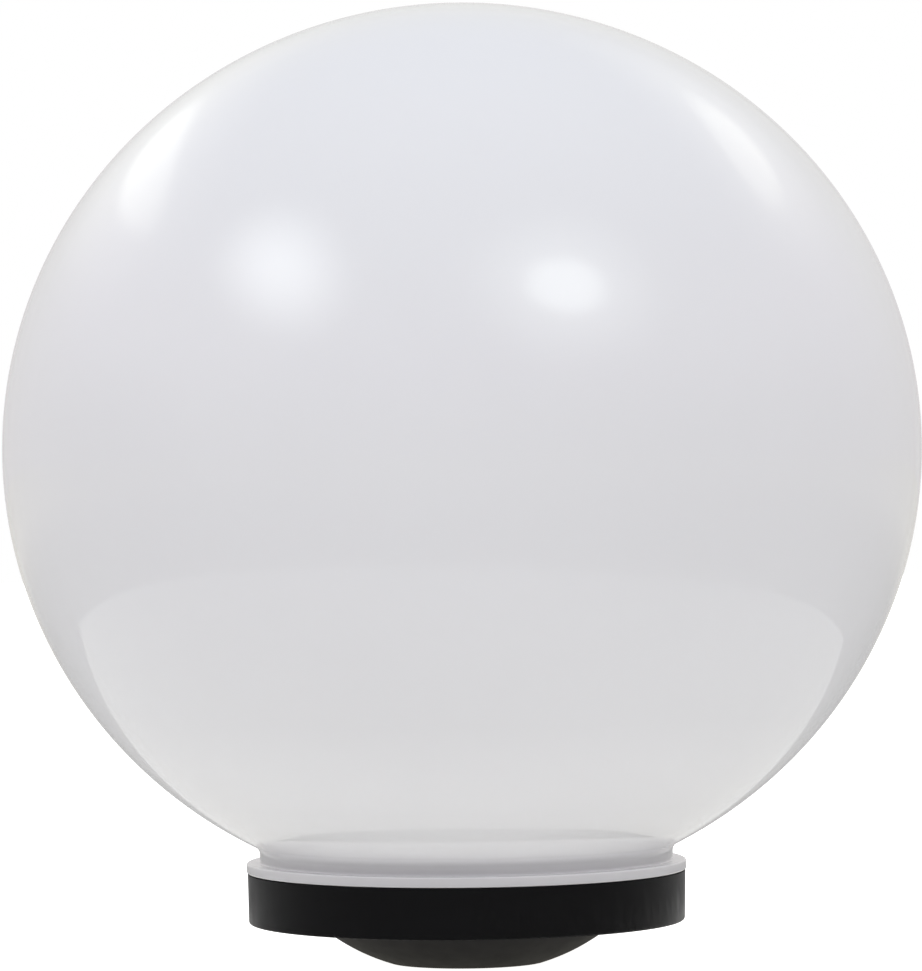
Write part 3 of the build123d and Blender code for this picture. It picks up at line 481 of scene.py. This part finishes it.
class GeometryTree(NodeGraph):
    """A Geometry Nodes tree with named inputs, applied to a mesh and then removed."""

    def __init__(self, name: str) -> None:
        """Start a tree that takes and gives geometry.

        Args:
            name: The tree's name.
        """
        super().__init__(bpy.data.node_groups.new(name, "GeometryNodeTree"))
        for way in ("INPUT", "OUTPUT"):
            self.tree.interface.new_socket(
                "Geometry", in_out=way, socket_type="NodeSocketGeometry"
            )
        self.start = self.add("NodeGroupInput")
        self.end = self.add("NodeGroupOutput")

    def add_input(self, name: str, kind: str) -> bpy.types.NodeSocket:
        """Add a named input of a socket type, and give its socket on the group input node."""
        self.tree.interface.new_socket(name, in_out="INPUT", socket_type=kind)
        return self.start.outputs[name]

    def finish_with(self, geometry: bpy.types.NodeSocket, material: bpy.types.NodeSocket) -> None:
        """End the tree with realized, smooth geometry and its material.

        Args:
            geometry: The geometry so far.
            material: The material's socket.
        """
        for kind in ("GeometryNodeRealizeInstances", "GeometryNodeSetShadeSmooth"):
            geometry = self.add(kind, {"Geometry": geometry}).outputs["Geometry"]
        dress = self.add("GeometryNodeSetMaterial", {"Geometry": geometry, "Material": material})
        self.join(dress.outputs["Geometry"], self.end.inputs["Geometry"])

    def make(self, name: str, host: bpy.types.Mesh, **values: object) -> bpy.types.Object:
        """Run the tree on a mesh and keep the result as a plain object.

        Args:
            name: The new piece's name.
            host: The mesh that the tree starts from.
            **values: Values of the named inputs, with spaces written as underscores.

        Returns:
            The new object.
        """
        holder = add_object(name + "_host", host)
        modifier = holder.modifiers.new("shape", "NODES")
        modifier.node_group = self.tree
        for item in self.tree.interface.items_tree:
            key = item.name.replace(" ", "_").lower()
            if item.in_out == "INPUT" and key in values:
                modifier[item.identifier] = values[key]
        depsgraph = bpy.context.evaluated_depsgraph_get()
        result = holder.evaluated_get(depsgraph)
        mesh = bpy.data.meshes.new_from_object(result, depsgraph=depsgraph)
        holder.modifiers.remove(modifier)
        bpy.data.objects.remove(holder)
        mesh.name = name
        mesh.materials.clear()
        mesh.materials.append(values["material"])
        return add_object(name, mesh)


def build_lathe_tree() -> GeometryTree:
    """Tree that turns a half section, drawn in the XZ plane, about the Z axis.

    A grid has one column for each step of the turn and one row for each point of the
    section. Each of its vertices goes to its row's point, turned by its column's angle.

    Returns:
        The tree, with inputs Segments and Material.
    """
    lathe = GeometryTree("lathe")
    segments = lathe.add_input("Segments", "NodeSocketInt")
    material = lathe.add_input("Material", "NodeSocketMaterial")
    section = lathe.start.outputs["Geometry"]
    size = lathe.add("GeometryNodeAttributeDomainSize", {"Geometry": section}, component="MESH")
    rows = size.outputs["Point Count"]
    columns = lathe.calculate("ADD", segments, 1.0)
    grid = lathe.add("GeometryNodeMeshGrid", {"Vertices X": columns, "Vertices Y": rows})
    index = lathe.add("GeometryNodeInputIndex").outputs["Index"]
    column = lathe.calculate("FLOOR", lathe.calculate("DIVIDE", index, rows))
    row = lathe.calculate("FLOORED_MODULO", index, rows)
    share = lathe.calculate("DIVIDE", column, segments)
    angle = lathe.calculate("MULTIPLY", share, 2 * math.pi)
    place = lathe.add("GeometryNodeInputPosition").outputs["Position"]
    point = lathe.add(
        "GeometryNodeSampleIndex",
        {"Geometry": section, "Value": place, "Index": row},
        data_type="FLOAT_VECTOR",
        domain="POINT",
    )
    turned = lathe.add(
        "ShaderNodeVectorRotate",
        {"Vector": point.outputs["Value"], "Angle": angle},
        rotation_type="Z_AXIS",
    )
    wrap = lathe.add(
        "GeometryNodeSetPosition",
        {"Geometry": grid.outputs["Mesh"], "Position": turned.outputs["Vector"]},
    )
    weld = lathe.add(
        "GeometryNodeMergeByDistance",
        {"Geometry": wrap.outputs["Geometry"], "Distance": LATHE_WELD},
    )
    lathe.finish_with(weld.outputs["Geometry"], material)
    return lathe


def build_ring_tree() -> GeometryTree:
    """Tree that sets copies of one item in a ring about the Z axis.

    Returns:
        The tree, with inputs Count, Pitch radius, Start angle, Height and Material.
    """
    ring = GeometryTree("ring_of_items")
    count = ring.add_input("Count", "NodeSocketInt")
    radius = ring.add_input("Pitch radius", "NodeSocketFloat")
    start = ring.add_input("Start angle", "NodeSocketFloat")
    height = ring.add_input("Height", "NodeSocketFloat")
    material = ring.add_input("Material", "NodeSocketMaterial")
    index = ring.add("GeometryNodeInputIndex").outputs["Index"]
    share = ring.calculate("DIVIDE", index, count)
    angle = ring.calculate("MULTIPLY_ADD", share, 2 * math.pi, start)
    spoke = ring.add("ShaderNodeCombineXYZ", {"X": radius, "Z": height})
    turned = ring.add(
        "ShaderNodeVectorRotate",
        {"Vector": spoke.outputs["Vector"], "Angle": angle},
        rotation_type="Z_AXIS",
    )
    dots = ring.add("GeometryNodePoints", {"Count": count, "Position": turned.outputs["Vector"]})
    facing = ring.add("ShaderNodeCombineXYZ", {"Z": angle})
    copies = ring.add(
        "GeometryNodeInstanceOnPoints",
        {
            "Points": dots.outputs["Points"],
            "Instance": ring.start.outputs["Geometry"],
            "Rotation": facing.outputs["Vector"],
        },
    )
    ring.finish_with(copies.outputs["Instances"], material)
    return ring


LATHE = build_lathe_tree()
RING = build_ring_tree()


def mesh_from_bmesh(name: str, shape: bmesh.types.BMesh) -> bpy.types.Mesh:
    """Turn a bmesh into a mesh and free it.

    Args:
        name: The mesh's name.
        shape: The bmesh.

    Returns:
        The mesh.
    """
    mesh = bpy.data.meshes.new(name)
    shape.to_mesh(mesh)
    shape.free()
    return mesh


def face_outwards(mesh: bpy.types.Mesh) -> None:
    """Close a mesh and point all of its faces outwards.

    Args:
        mesh: The mesh.
    """
    shape = bmesh.new()
    shape.from_mesh(mesh)
    bmesh.ops.remove_doubles(shape, verts=shape.verts, dist=CLOSED_WELD)
    bmesh.ops.recalc_face_normals(shape, faces=shape.faces)
    shape.to_mesh(mesh)
    shape.free()


def smooth_by_angle(mesh: bpy.types.Mesh, degrees: float) -> None:
    """Shade a mesh smooth, with its edges past an angle kept sharp."""
    mesh.shade_smooth()
    mesh.set_sharp_from_angle(angle=math.radians(degrees))


def turn_profile(
    name: str, profile: Profile, finish: Finish, segments: int, sharp: float
) -> bpy.types.Object:
    """Turn a half section into a piece.

    Args:
        name: The piece's name.
        profile: The half section.
        finish: The piece's finish.
        segments: Segments round the axis.
        sharp: Angle in degrees past which an edge stays sharp.

    Returns:
        The new piece.
    """
    points = profile.points()
    outline = bpy.data.meshes.new(name + "_profile")
    edges = [(i, i + 1) for i in range(len(points) - 1)]
    outline.from_pydata([(r, 0.0, z) for r, z in points], edges, [])
    piece = LATHE.make(name, outline, segments=segments, material=finish.material())
    face_outwards(piece.data)
    smooth_by_angle(piece.data, sharp)
    return piece


def dress_copy(node: str, body: str, finish: Finish) -> bpy.types.Object:
    """Stand a welded, smooth copy of a CAD node in for it, with its finish.

    Args:
        node: The CAD node's name.
        body: The body it rides on.
        finish: Its finish.

    Returns:
        The new piece.
    """
    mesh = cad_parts[node].data.copy()
    mesh.materials.clear()
    shape = bmesh.new()
    shape.from_mesh(mesh)
    bmesh.ops.remove_doubles(shape, verts=shape.verts, dist=CAD_WELD)
    bmesh.ops.dissolve_limit(
        shape, angle_limit=math.radians(FLAT_ANGLE), verts=shape.verts, edges=shape.edges
    )
    shape.to_mesh(mesh)
    shape.free()
    smooth_by_angle(mesh, CAD_SHARP_ANGLE)
    mesh.materials.append(finish.material())
    piece = add_object(node + "_dressed", mesh)
    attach(piece, body)
    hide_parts(node)
    LOG.info("%s: %d faces", piece.name, len(mesh.polygons))
    return piece


# ---------------------------------------------------------------------------
# Sub-assemblies
# ---------------------------------------------------------------------------


@dataclass
class Globe:
    """The opal globe with its neck, flange, spigot and bayonet lugs."""

    wall: float = 3.0 * MM
    neck_radius: float = 90.1 * MM
    neck_height: float = 6.1 * MM
    neck_rounding: float = 4.0 * MM
    flange_radius: float = 95.9 * MM
    flange_thickness: float = 4.4 * MM
    flange_rounding: float = 0.8 * MM
    spigot_radius: float = 86.9 * MM
    spigot_depth: float = 10.3 * MM
    lug_count: int = 3
    lug_reach: float = 4.3 * MM
    lug_width: float = 18.0 * MM
    lug_thickness: float = 3.0 * MM
    lug_drop: float = 4.9 * MM
    lug_steps: int = 8
    lug_bevel: float = 0.5 * MM
    lug_bevel_steps: int = 2
    lug_bevel_angle: float = 40.0
    segments: int = 288
    meridian_steps: int = 96
    sharp_angle: float = 35.0

    def build(self) -> None:
        """Build the shell and its lugs."""
        low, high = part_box("globe")
        half_width = (high.x - low.x) / 2
        flange_bottom = low.z + self.spigot_depth
        flange_top = flange_bottom + self.flange_thickness
        neck_top = flange_top + self.neck_height
        sink = math.sqrt(1 - (self.neck_radius / half_width) ** 2)
        half_height = (high.z - neck_top) / (1 + sink)
        centre = high.z - half_height
        outside = (half_width, half_height)
        inside = (half_width - self.wall, half_height - self.wall)
        bore = self.neck_radius - self.wall
        spigot_bore = self.spigot_radius - self.wall
        edge = self.flange_rounding / 2
        profile = Profile()
        profile.ellipse(outside, centre, self.neck_radius, self.meridian_steps)
        corner, _ = profile.corners.pop()
        for radius, height, rounding in (
            (corner.x, corner.y, self.neck_rounding),
            (self.neck_radius, flange_top, edge),
            (self.flange_radius, flange_top, self.flange_rounding),
            (self.flange_radius, flange_bottom, self.flange_rounding),
            (self.spigot_radius, flange_bottom, 0.0),
            (self.spigot_radius, low.z, edge),
            (spigot_bore, low.z, edge),
            (spigot_bore, flange_top, 0.0),
            (bore, flange_top + self.wall, 0.0),
        ):
            profile.add(radius, height, rounding)
        profile.ellipse(inside, centre, bore, self.meridian_steps, upwards=True)
        shell = turn_profile(
            "globe_shell", profile, OPAL_ACRYLIC, self.segments, self.sharp_angle
        )
        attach(shell, "globe")
        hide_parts("globe")
        LOG.info("globe_shell: %d faces", len(shell.data.polygons))
        self.build_lugs(flange_bottom - self.lug_drop)

    def build_lugs(self, top: float) -> None:
        """Build the ring of bayonet lugs.

        Args:
            top: Height of the lugs' upper face.
        """
        shape = bmesh.new()
        inner = self.spigot_radius - self.wall / 2
        outer = self.spigot_radius + self.lug_reach
        half = math.asin(self.lug_width / 2 / outer)
        turns = [half * (2 * i / self.lug_steps - 1) for i in range(self.lug_steps + 1)]
        low_in, low_out, top_in, top_out = (
            [
                shape.verts.new((radius * math.cos(turn), radius * math.sin(turn), height))
                for turn in turns
            ]
            for height in (top - self.lug_thickness, top)
            for radius in (inner, outer)
        )
        for i in range(self.lug_steps):
            shape.faces.new((low_out[i], low_out[i + 1], top_out[i + 1], top_out[i]))
            shape.faces.new((low_in[i + 1], low_in[i], top_in[i], top_in[i + 1]))
            shape.faces.new((top_in[i], top_out[i], top_out[i + 1], top_in[i + 1]))
            shape.faces.new((low_in[i + 1], low_out[i + 1], low_out[i], low_in[i]))
        shape.faces.new((low_in[0], low_out[0], top_out[0], top_in[0]))
        shape.faces.new((low_out[-1], low_in[-1], top_in[-1], top_out[-1]))
        bmesh.ops.recalc_face_normals(shape, faces=shape.faces)
        least = math.radians(self.lug_bevel_angle)
        bmesh.ops.bevel(
            shape,
            geom=[edge for edge in shape.edges if edge.calc_face_angle(0.0) > least],
            offset=self.lug_bevel,
            segments=self.lug_bevel_steps,
            affect="EDGES",
        )
        lugs = RING.make(
            "globe_lugs",
            mesh_from_bmesh("lug", shape),
            count=self.lug_count,
            pitch_radius=0.0,
            start_angle=0.0,
            height=0.0,
            material=OPAL_ACRYLIC.material(),
        )
        smooth_by_angle(lugs.data, self.sharp_angle)
        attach(lugs, "globe")
        LOG.info("globe_lugs: %d", self.lug_count)


@dataclass
class DressedNodes:
    """CAD nodes of one body whose shape is right, each with its finish."""

    body: str
    finishes: dict[str, Finish]

    def build(self) -> None:
        """Dress each node."""
        for node, finish in self.finishes.items():
            dress_copy(node, self.body, finish)


BASE = DressedNodes(
    "base",
    {
        "base_tray": MOULDED_BLACK,
        "pole_socket": DISH_BLACK,
        "base_screws": ZINC_STEEL,
        "set_screws": ZINC_STEEL,
        "set_screw_nuts": ZINC_STEEL,
        "lamp_bridge": WHITE_NYLON,
        "bridge_screws": ZINC_STEEL,
        "gland_body": BLACK_NYLON,
        "gland_nut": BLACK_NYLON,
        "gland_locknut": BLACK_NYLON,
        "gland_seal": BLACK_RUBBER,
    },
)
LAMPHOLDER = DressedNodes(
    "base",
    {
        "holder_body": PORCELAIN,
        "holder_shell": NICKEL,
        "shell_rivets": BRASS,
        "centre_contact": BRASS,
        "side_contact": BRASS,
        "contact_screws": ZINC_STEEL,
        "holder_screws": ZINC_STEEL,
        "terminal_block": WHITE_NYLON,
        "terminal_inserts": BRASS,
        "terminal_screws": ZINC_STEEL,
        "block_screw": ZINC_STEEL,
        "live_lead": BROWN_SLEEVE,
        "neutral_lead": BLUE_SLEEVE,
        "lead_ferrules": TINNED_COPPER,
    },
)
BULB = DressedNodes(
    "bulb",
    {
        "bulb_insulator": BLACK_GLASS,
        "bulb_cap": NICKEL,
        "bulb_housing": BULB_WHITE,
        "bulb_diffuser": BULB_OPAL,
        "led_board": BOARD_WHITE,
        "led_chips": LED_PHOSPHOR,
        "driver_board": BOARD_GREEN,
    },
)
GASKET = DressedNodes("globe_seal", {"neck_gasket": BLACK_RUBBER})
BULB_TIP = DressedNodes("bulb_tip", {"bulb_eyelet": BRASS})


# ---------------------------------------------------------------------------
# Studio
# ---------------------------------------------------------------------------


class Side(Enum):
    """Where a softbox stands, as a direction from the globe's centre."""

    FRONT_LEFT = (-0.616, -0.449, 0.659)
    FRONT_RIGHT = (0.388, -0.678, 0.628)
    BACK_LEFT = (-0.600, 0.564, 0.567)
    BACK_RIGHT = (0.584, 0.512, 0.630)


@dataclass(frozen=True)
class Softbox:
    """A soft lamp that faces the globe, with a brighter middle where it has one."""

    side: Side
    surround: Point
    surround_radiance: float
    middle: Point = (0.0, 0.0)
    middle_radiance: float = 0.0
    colour: Colour = (1.0, 1.0, 1.0)
    turn: float = 0.0
    distance: float = 2.4
    gap: float = 0.02
    surround_rim: float = 1.0
    middle_rim: float = 0.5

    def build(self, target: Vector) -> None:
        """Place the surround, and the middle in front of it.

        Args:
            target: The point that they face.
        """
        behind = self.distance + self.gap
        self.build_lamp(
            "surround", target, behind, self.surround, self.surround_radiance, self.surround_rim
        )
        if self.middle_radiance:
            self.build_lamp(
                "middle", target, self.distance, self.middle, self.middle_radiance, self.middle_rim
            )

    def build_lamp(
        self, part: str, target: Vector, distance: float, size: Point, radiance: float, rim: float
    ) -> None:
        """Place one elliptical lamp.

        Args:
            part: Which part of the softbox it is.
            target: The point that it faces.
            distance: Its distance from that point.
            size: Its width and height.
            radiance: How bright its surface is.
            rim: Share of its radius over which it fades.
        """
        away = Vector(self.side.value).normalized()
        facing = away.to_track_quat("Z", "Y").to_matrix()
        rolled = facing @ Matrix.Rotation(math.radians(self.turn), 3, "Z")
        name = f"{self.side.name.lower()}_{part}"
        data = bpy.data.lights.new(name, "AREA")
        data.shape = "ELLIPSE"
        data.size, data.size_y = size
        area = math.pi / 4 * size[0] * size[1]
        data.energy = radiance * math.pi * area
        data.color = self.colour
        self.fade_to_rim(data, rim)
        lamp = add_object(name, data)
        lamp.location = target + away * distance
        lamp.rotation_euler = rolled.to_euler()
        LOG.info("%s", name)

    def fade_to_rim(self, data: bpy.types.Light, rim: float) -> None:
        """Fade a lamp towards its rim.

        Args:
            data: The area lamp.
            rim: Share of the radius over which it fades.
        """
        data.use_nodes = True
        graph = NodeGraph(data.node_tree)
        glow = next(node for node in graph.tree.nodes if node.type == "EMISSION")
        place = graph.add("ShaderNodeNewGeometry").outputs["Parametric"]
        offset = graph.add(
            "ShaderNodeVectorMath",
            {0: place, 1: (LAMP_MIDDLE, LAMP_MIDDLE, 0.0)},
            operation="SUBTRACT",
        )
        reach = graph.add(
            "ShaderNodeVectorMath", {0: offset.outputs["Vector"]}, operation="LENGTH"
        )
        span = (LAMP_MIDDLE * (1 - rim), LAMP_MIDDLE)
        fade = graph.map_range(reach.outputs["Value"], span, (1.0, 0.0))
        graph.join(fade, glow.inputs["Strength"])


@dataclass
class Studio:
    """A pale turntable on a pale floor, four softboxes, even ambient light and the camera."""

    camera_distance: float = 2.183
    camera_height: float = 213.4 * MM
    camera_side: float = -0.6 * MM
    pitch: float = -0.151
    roll: float = -0.62
    focal_pixels: float = 5000.0
    sensor: float = 36.0
    table_radius: float = 0.495
    table_segments: int = 128
    table_side: float = -0.03
    table_back: float = 0.2
    table_thickness: float = 4.0 * MM
    table_colour: Colour = (0.80, 0.80, 0.79)
    table_glow: Point = (0.18, 0.18)
    table_lift: float = 0.84
    floor_half_width: float = 8.0
    floor_colour: Colour = (0.35, 0.35, 0.36)
    floor_glow: Point = (0.17, 0.45)
    floor_lift: float = 1.1
    glow_colour: Colour = (1.0, 0.96, 0.82)
    glow_span: Point = (0.5, 2.5)
    zenith: Colour = (0.669, 0.713, 0.768)
    sides: Colour = (0.978, 0.922, 0.983)
    back: Colour = (0.82, 0.815, 0.779)
    front: Colour = (0.777, 0.721, 0.836)
    horizon: Colour = (0.704, 0.686, 0.689)
    sky_span: Point = (0.35, 0.95)
    horizon_height: float = 0.40
    lamps: tuple[Softbox, ...] = (
        Softbox(
            Side.FRONT_LEFT,
            surround=(2.2, 1.4),
            surround_radiance=3.6,
            colour=(0.95, 1.0, 0.998),
            turn=-26,
        ),
        Softbox(
            Side.FRONT_RIGHT,
            surround=(2.45, 2.1),
            surround_radiance=2.0,
            middle=(0.97, 0.76),
            middle_radiance=2.2,
            colour=(0.94, 1.0, 0.97),
            turn=-7,
        ),
        Softbox(
            Side.BACK_LEFT,
            surround=(3.9, 1.7),
            surround_radiance=0.42,
            middle=(2.2, 0.55),
            middle_radiance=0.78,
            colour=(0.98, 1.0, 0.90),
            turn=12,
        ),
        Softbox(
            Side.BACK_RIGHT,
            surround=(3.0, 1.6),
            surround_radiance=0.5,
            middle=(1.4, 0.6),
            middle_radiance=0.62,
            colour=(1.0, 1.0, 0.88),
            turn=4,
        ),
    )

    def build(self) -> None:
        """Build the floor, the lamps, the world and the camera."""
        globe_low, globe_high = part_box("globe")
        centre = (globe_low + globe_high) / 2
        self.build_floor()
        for lamp in self.lamps:
            lamp.build(centre)
        self.build_world()
        self.build_camera()

    def backdrop_material(
        self, name: str, colour: Colour, glow: Point, lift: float
    ) -> bpy.types.Material:
        """A matt, lit-through surface that the camera sees as white, with the shadow kept.

        Args:
            name: The material's name.
            colour: Its diffuse colour.
            glow: Light that comes through it, near the globe's axis and far from it.
            lift: Light that only the camera sees on top of it.

        Returns:
            The material.
        """
        graph = ShaderGraph(name)
        matt = graph.add("ShaderNodeBsdfDiffuse", {"Color": opaque(colour)})
        place = graph.add("ShaderNodeTexCoord").outputs["Object"]
        reach = graph.add("ShaderNodeVectorMath", {0: place}, operation="LENGTH")
        strength = graph.map_range(reach.outputs["Value"], self.glow_span, glow)
        light = graph.add(
            "ShaderNodeEmission", {"Color": opaque(self.glow_colour), "Strength": strength}
        )
        path = graph.add("ShaderNodeLightPath")
        seen = graph.calculate("MULTIPLY", path.outputs["Is Camera Ray"], lift)
        white = graph.add("ShaderNodeEmission", {"Color": WHITE, "Strength": seen})
        surface = matt.outputs["BSDF"]
        for glowing in (light, white):
            both = graph.add("ShaderNodeAddShader", {0: surface, 1: glowing.outputs["Emission"]})
            surface = both.outputs["Shader"]
        graph.join(surface, graph.output.inputs["Surface"])
        return graph.material

    def build_floor(self) -> None:
        """Build the table top, a disc cut off at the back at z = 0, and the floor round it."""
        disc = bmesh.new()
        bmesh.ops.create_circle(
            disc, cap_ends=True, segments=self.table_segments, radius=self.table_radius
        )
        bmesh.ops.translate(disc, verts=disc.verts, vec=(self.table_side, 0, 0))
        bmesh.ops.bisect_plane(
            disc,
            geom=[*disc.verts, *disc.edges, *disc.faces],
            plane_co=(0, self.table_back, 0),
            plane_no=(0, 1, 0),
            clear_outer=True,
        )
        sheet = bmesh.new()
        bmesh.ops.create_grid(sheet, x_segments=1, y_segments=1, size=self.floor_half_width)
        bmesh.ops.translate(sheet, verts=sheet.verts, vec=(0, 0, -self.table_thickness))
        white = self.backdrop_material(
            "table_white", self.table_colour, self.table_glow, self.table_lift
        )
        pale = self.backdrop_material(
            "floor_white", self.floor_colour, self.floor_glow, self.floor_lift
        )
        for name, shape, material in (("table_top", disc, white), ("ground", sheet, pale)):
            item = add_object(name, mesh_from_bmesh(name, shape))
            item.data.materials.append(material)
            LOG.info("%s", item.name)

    def build_world(self) -> None:
        """Ambient light, darker behind the camera, with a white background for the camera."""
        world = bpy.data.worlds.new("studio")
        bpy.context.scene.world = world
        world.use_nodes = True
        graph = NodeGraph(world.node_tree)
        graph.tree.nodes.clear()
        place = graph.add("ShaderNodeTexCoord").outputs["Generated"]
        split = graph.add("ShaderNodeSeparateXYZ", {"Vector": place})
        near, far = self.sky_span
        colour: object = opaque(self.front)
        for axis, span, tint in (
            ("Y", (-far, -near), self.sides),
            ("Y", (near, far), self.back),
            ("Z", (near, far), self.zenith),
            ("Z", (self.horizon_height, 0.0), self.horizon),
        ):
            share = graph.map_range(split.outputs[axis], span)
            colour = graph.blend(share, colour, opaque(tint))
        path = graph.add("ShaderNodeLightPath")
        seen = graph.blend(path.outputs["Is Camera Ray"], colour, WHITE)
        sky = graph.add("ShaderNodeBackground", {"Color": seen})
        graph.add("ShaderNodeOutputWorld", {"Surface": sky.outputs["Background"]})

    def build_camera(self) -> None:
        """Set the camera at the photograph's distance, height, pitch and roll."""
        data = bpy.data.cameras.new("camera")
        data.sensor_width = self.sensor
        data.lens = self.focal_pixels / PHOTO_HEIGHT * self.sensor
        camera = add_object("camera", data)
        camera.location = (self.camera_side, -self.camera_distance, self.camera_height)
        level = Matrix.Rotation(math.radians(90 + self.pitch), 4, "X")
        tilt = Matrix.Rotation(math.radians(self.roll), 4, "Z")
        camera.rotation_euler = (level @ tilt).to_euler()
        bpy.context.scene.camera = camera
        bpy.context.scene.view_settings.view_transform = "Standard"


def main() -> None:
    """Build the sub-assemblies in order, then the studio."""
    logging.basicConfig(level=logging.INFO, format="%(name)s: %(message)s")
    Globe().build()
    GASKET.build()
    BASE.build()
    LAMPHOLDER.build()
    BULB_TIP.build()
    BULB.build()
    Studio().build()


if __name__ == "__main__":
    main()
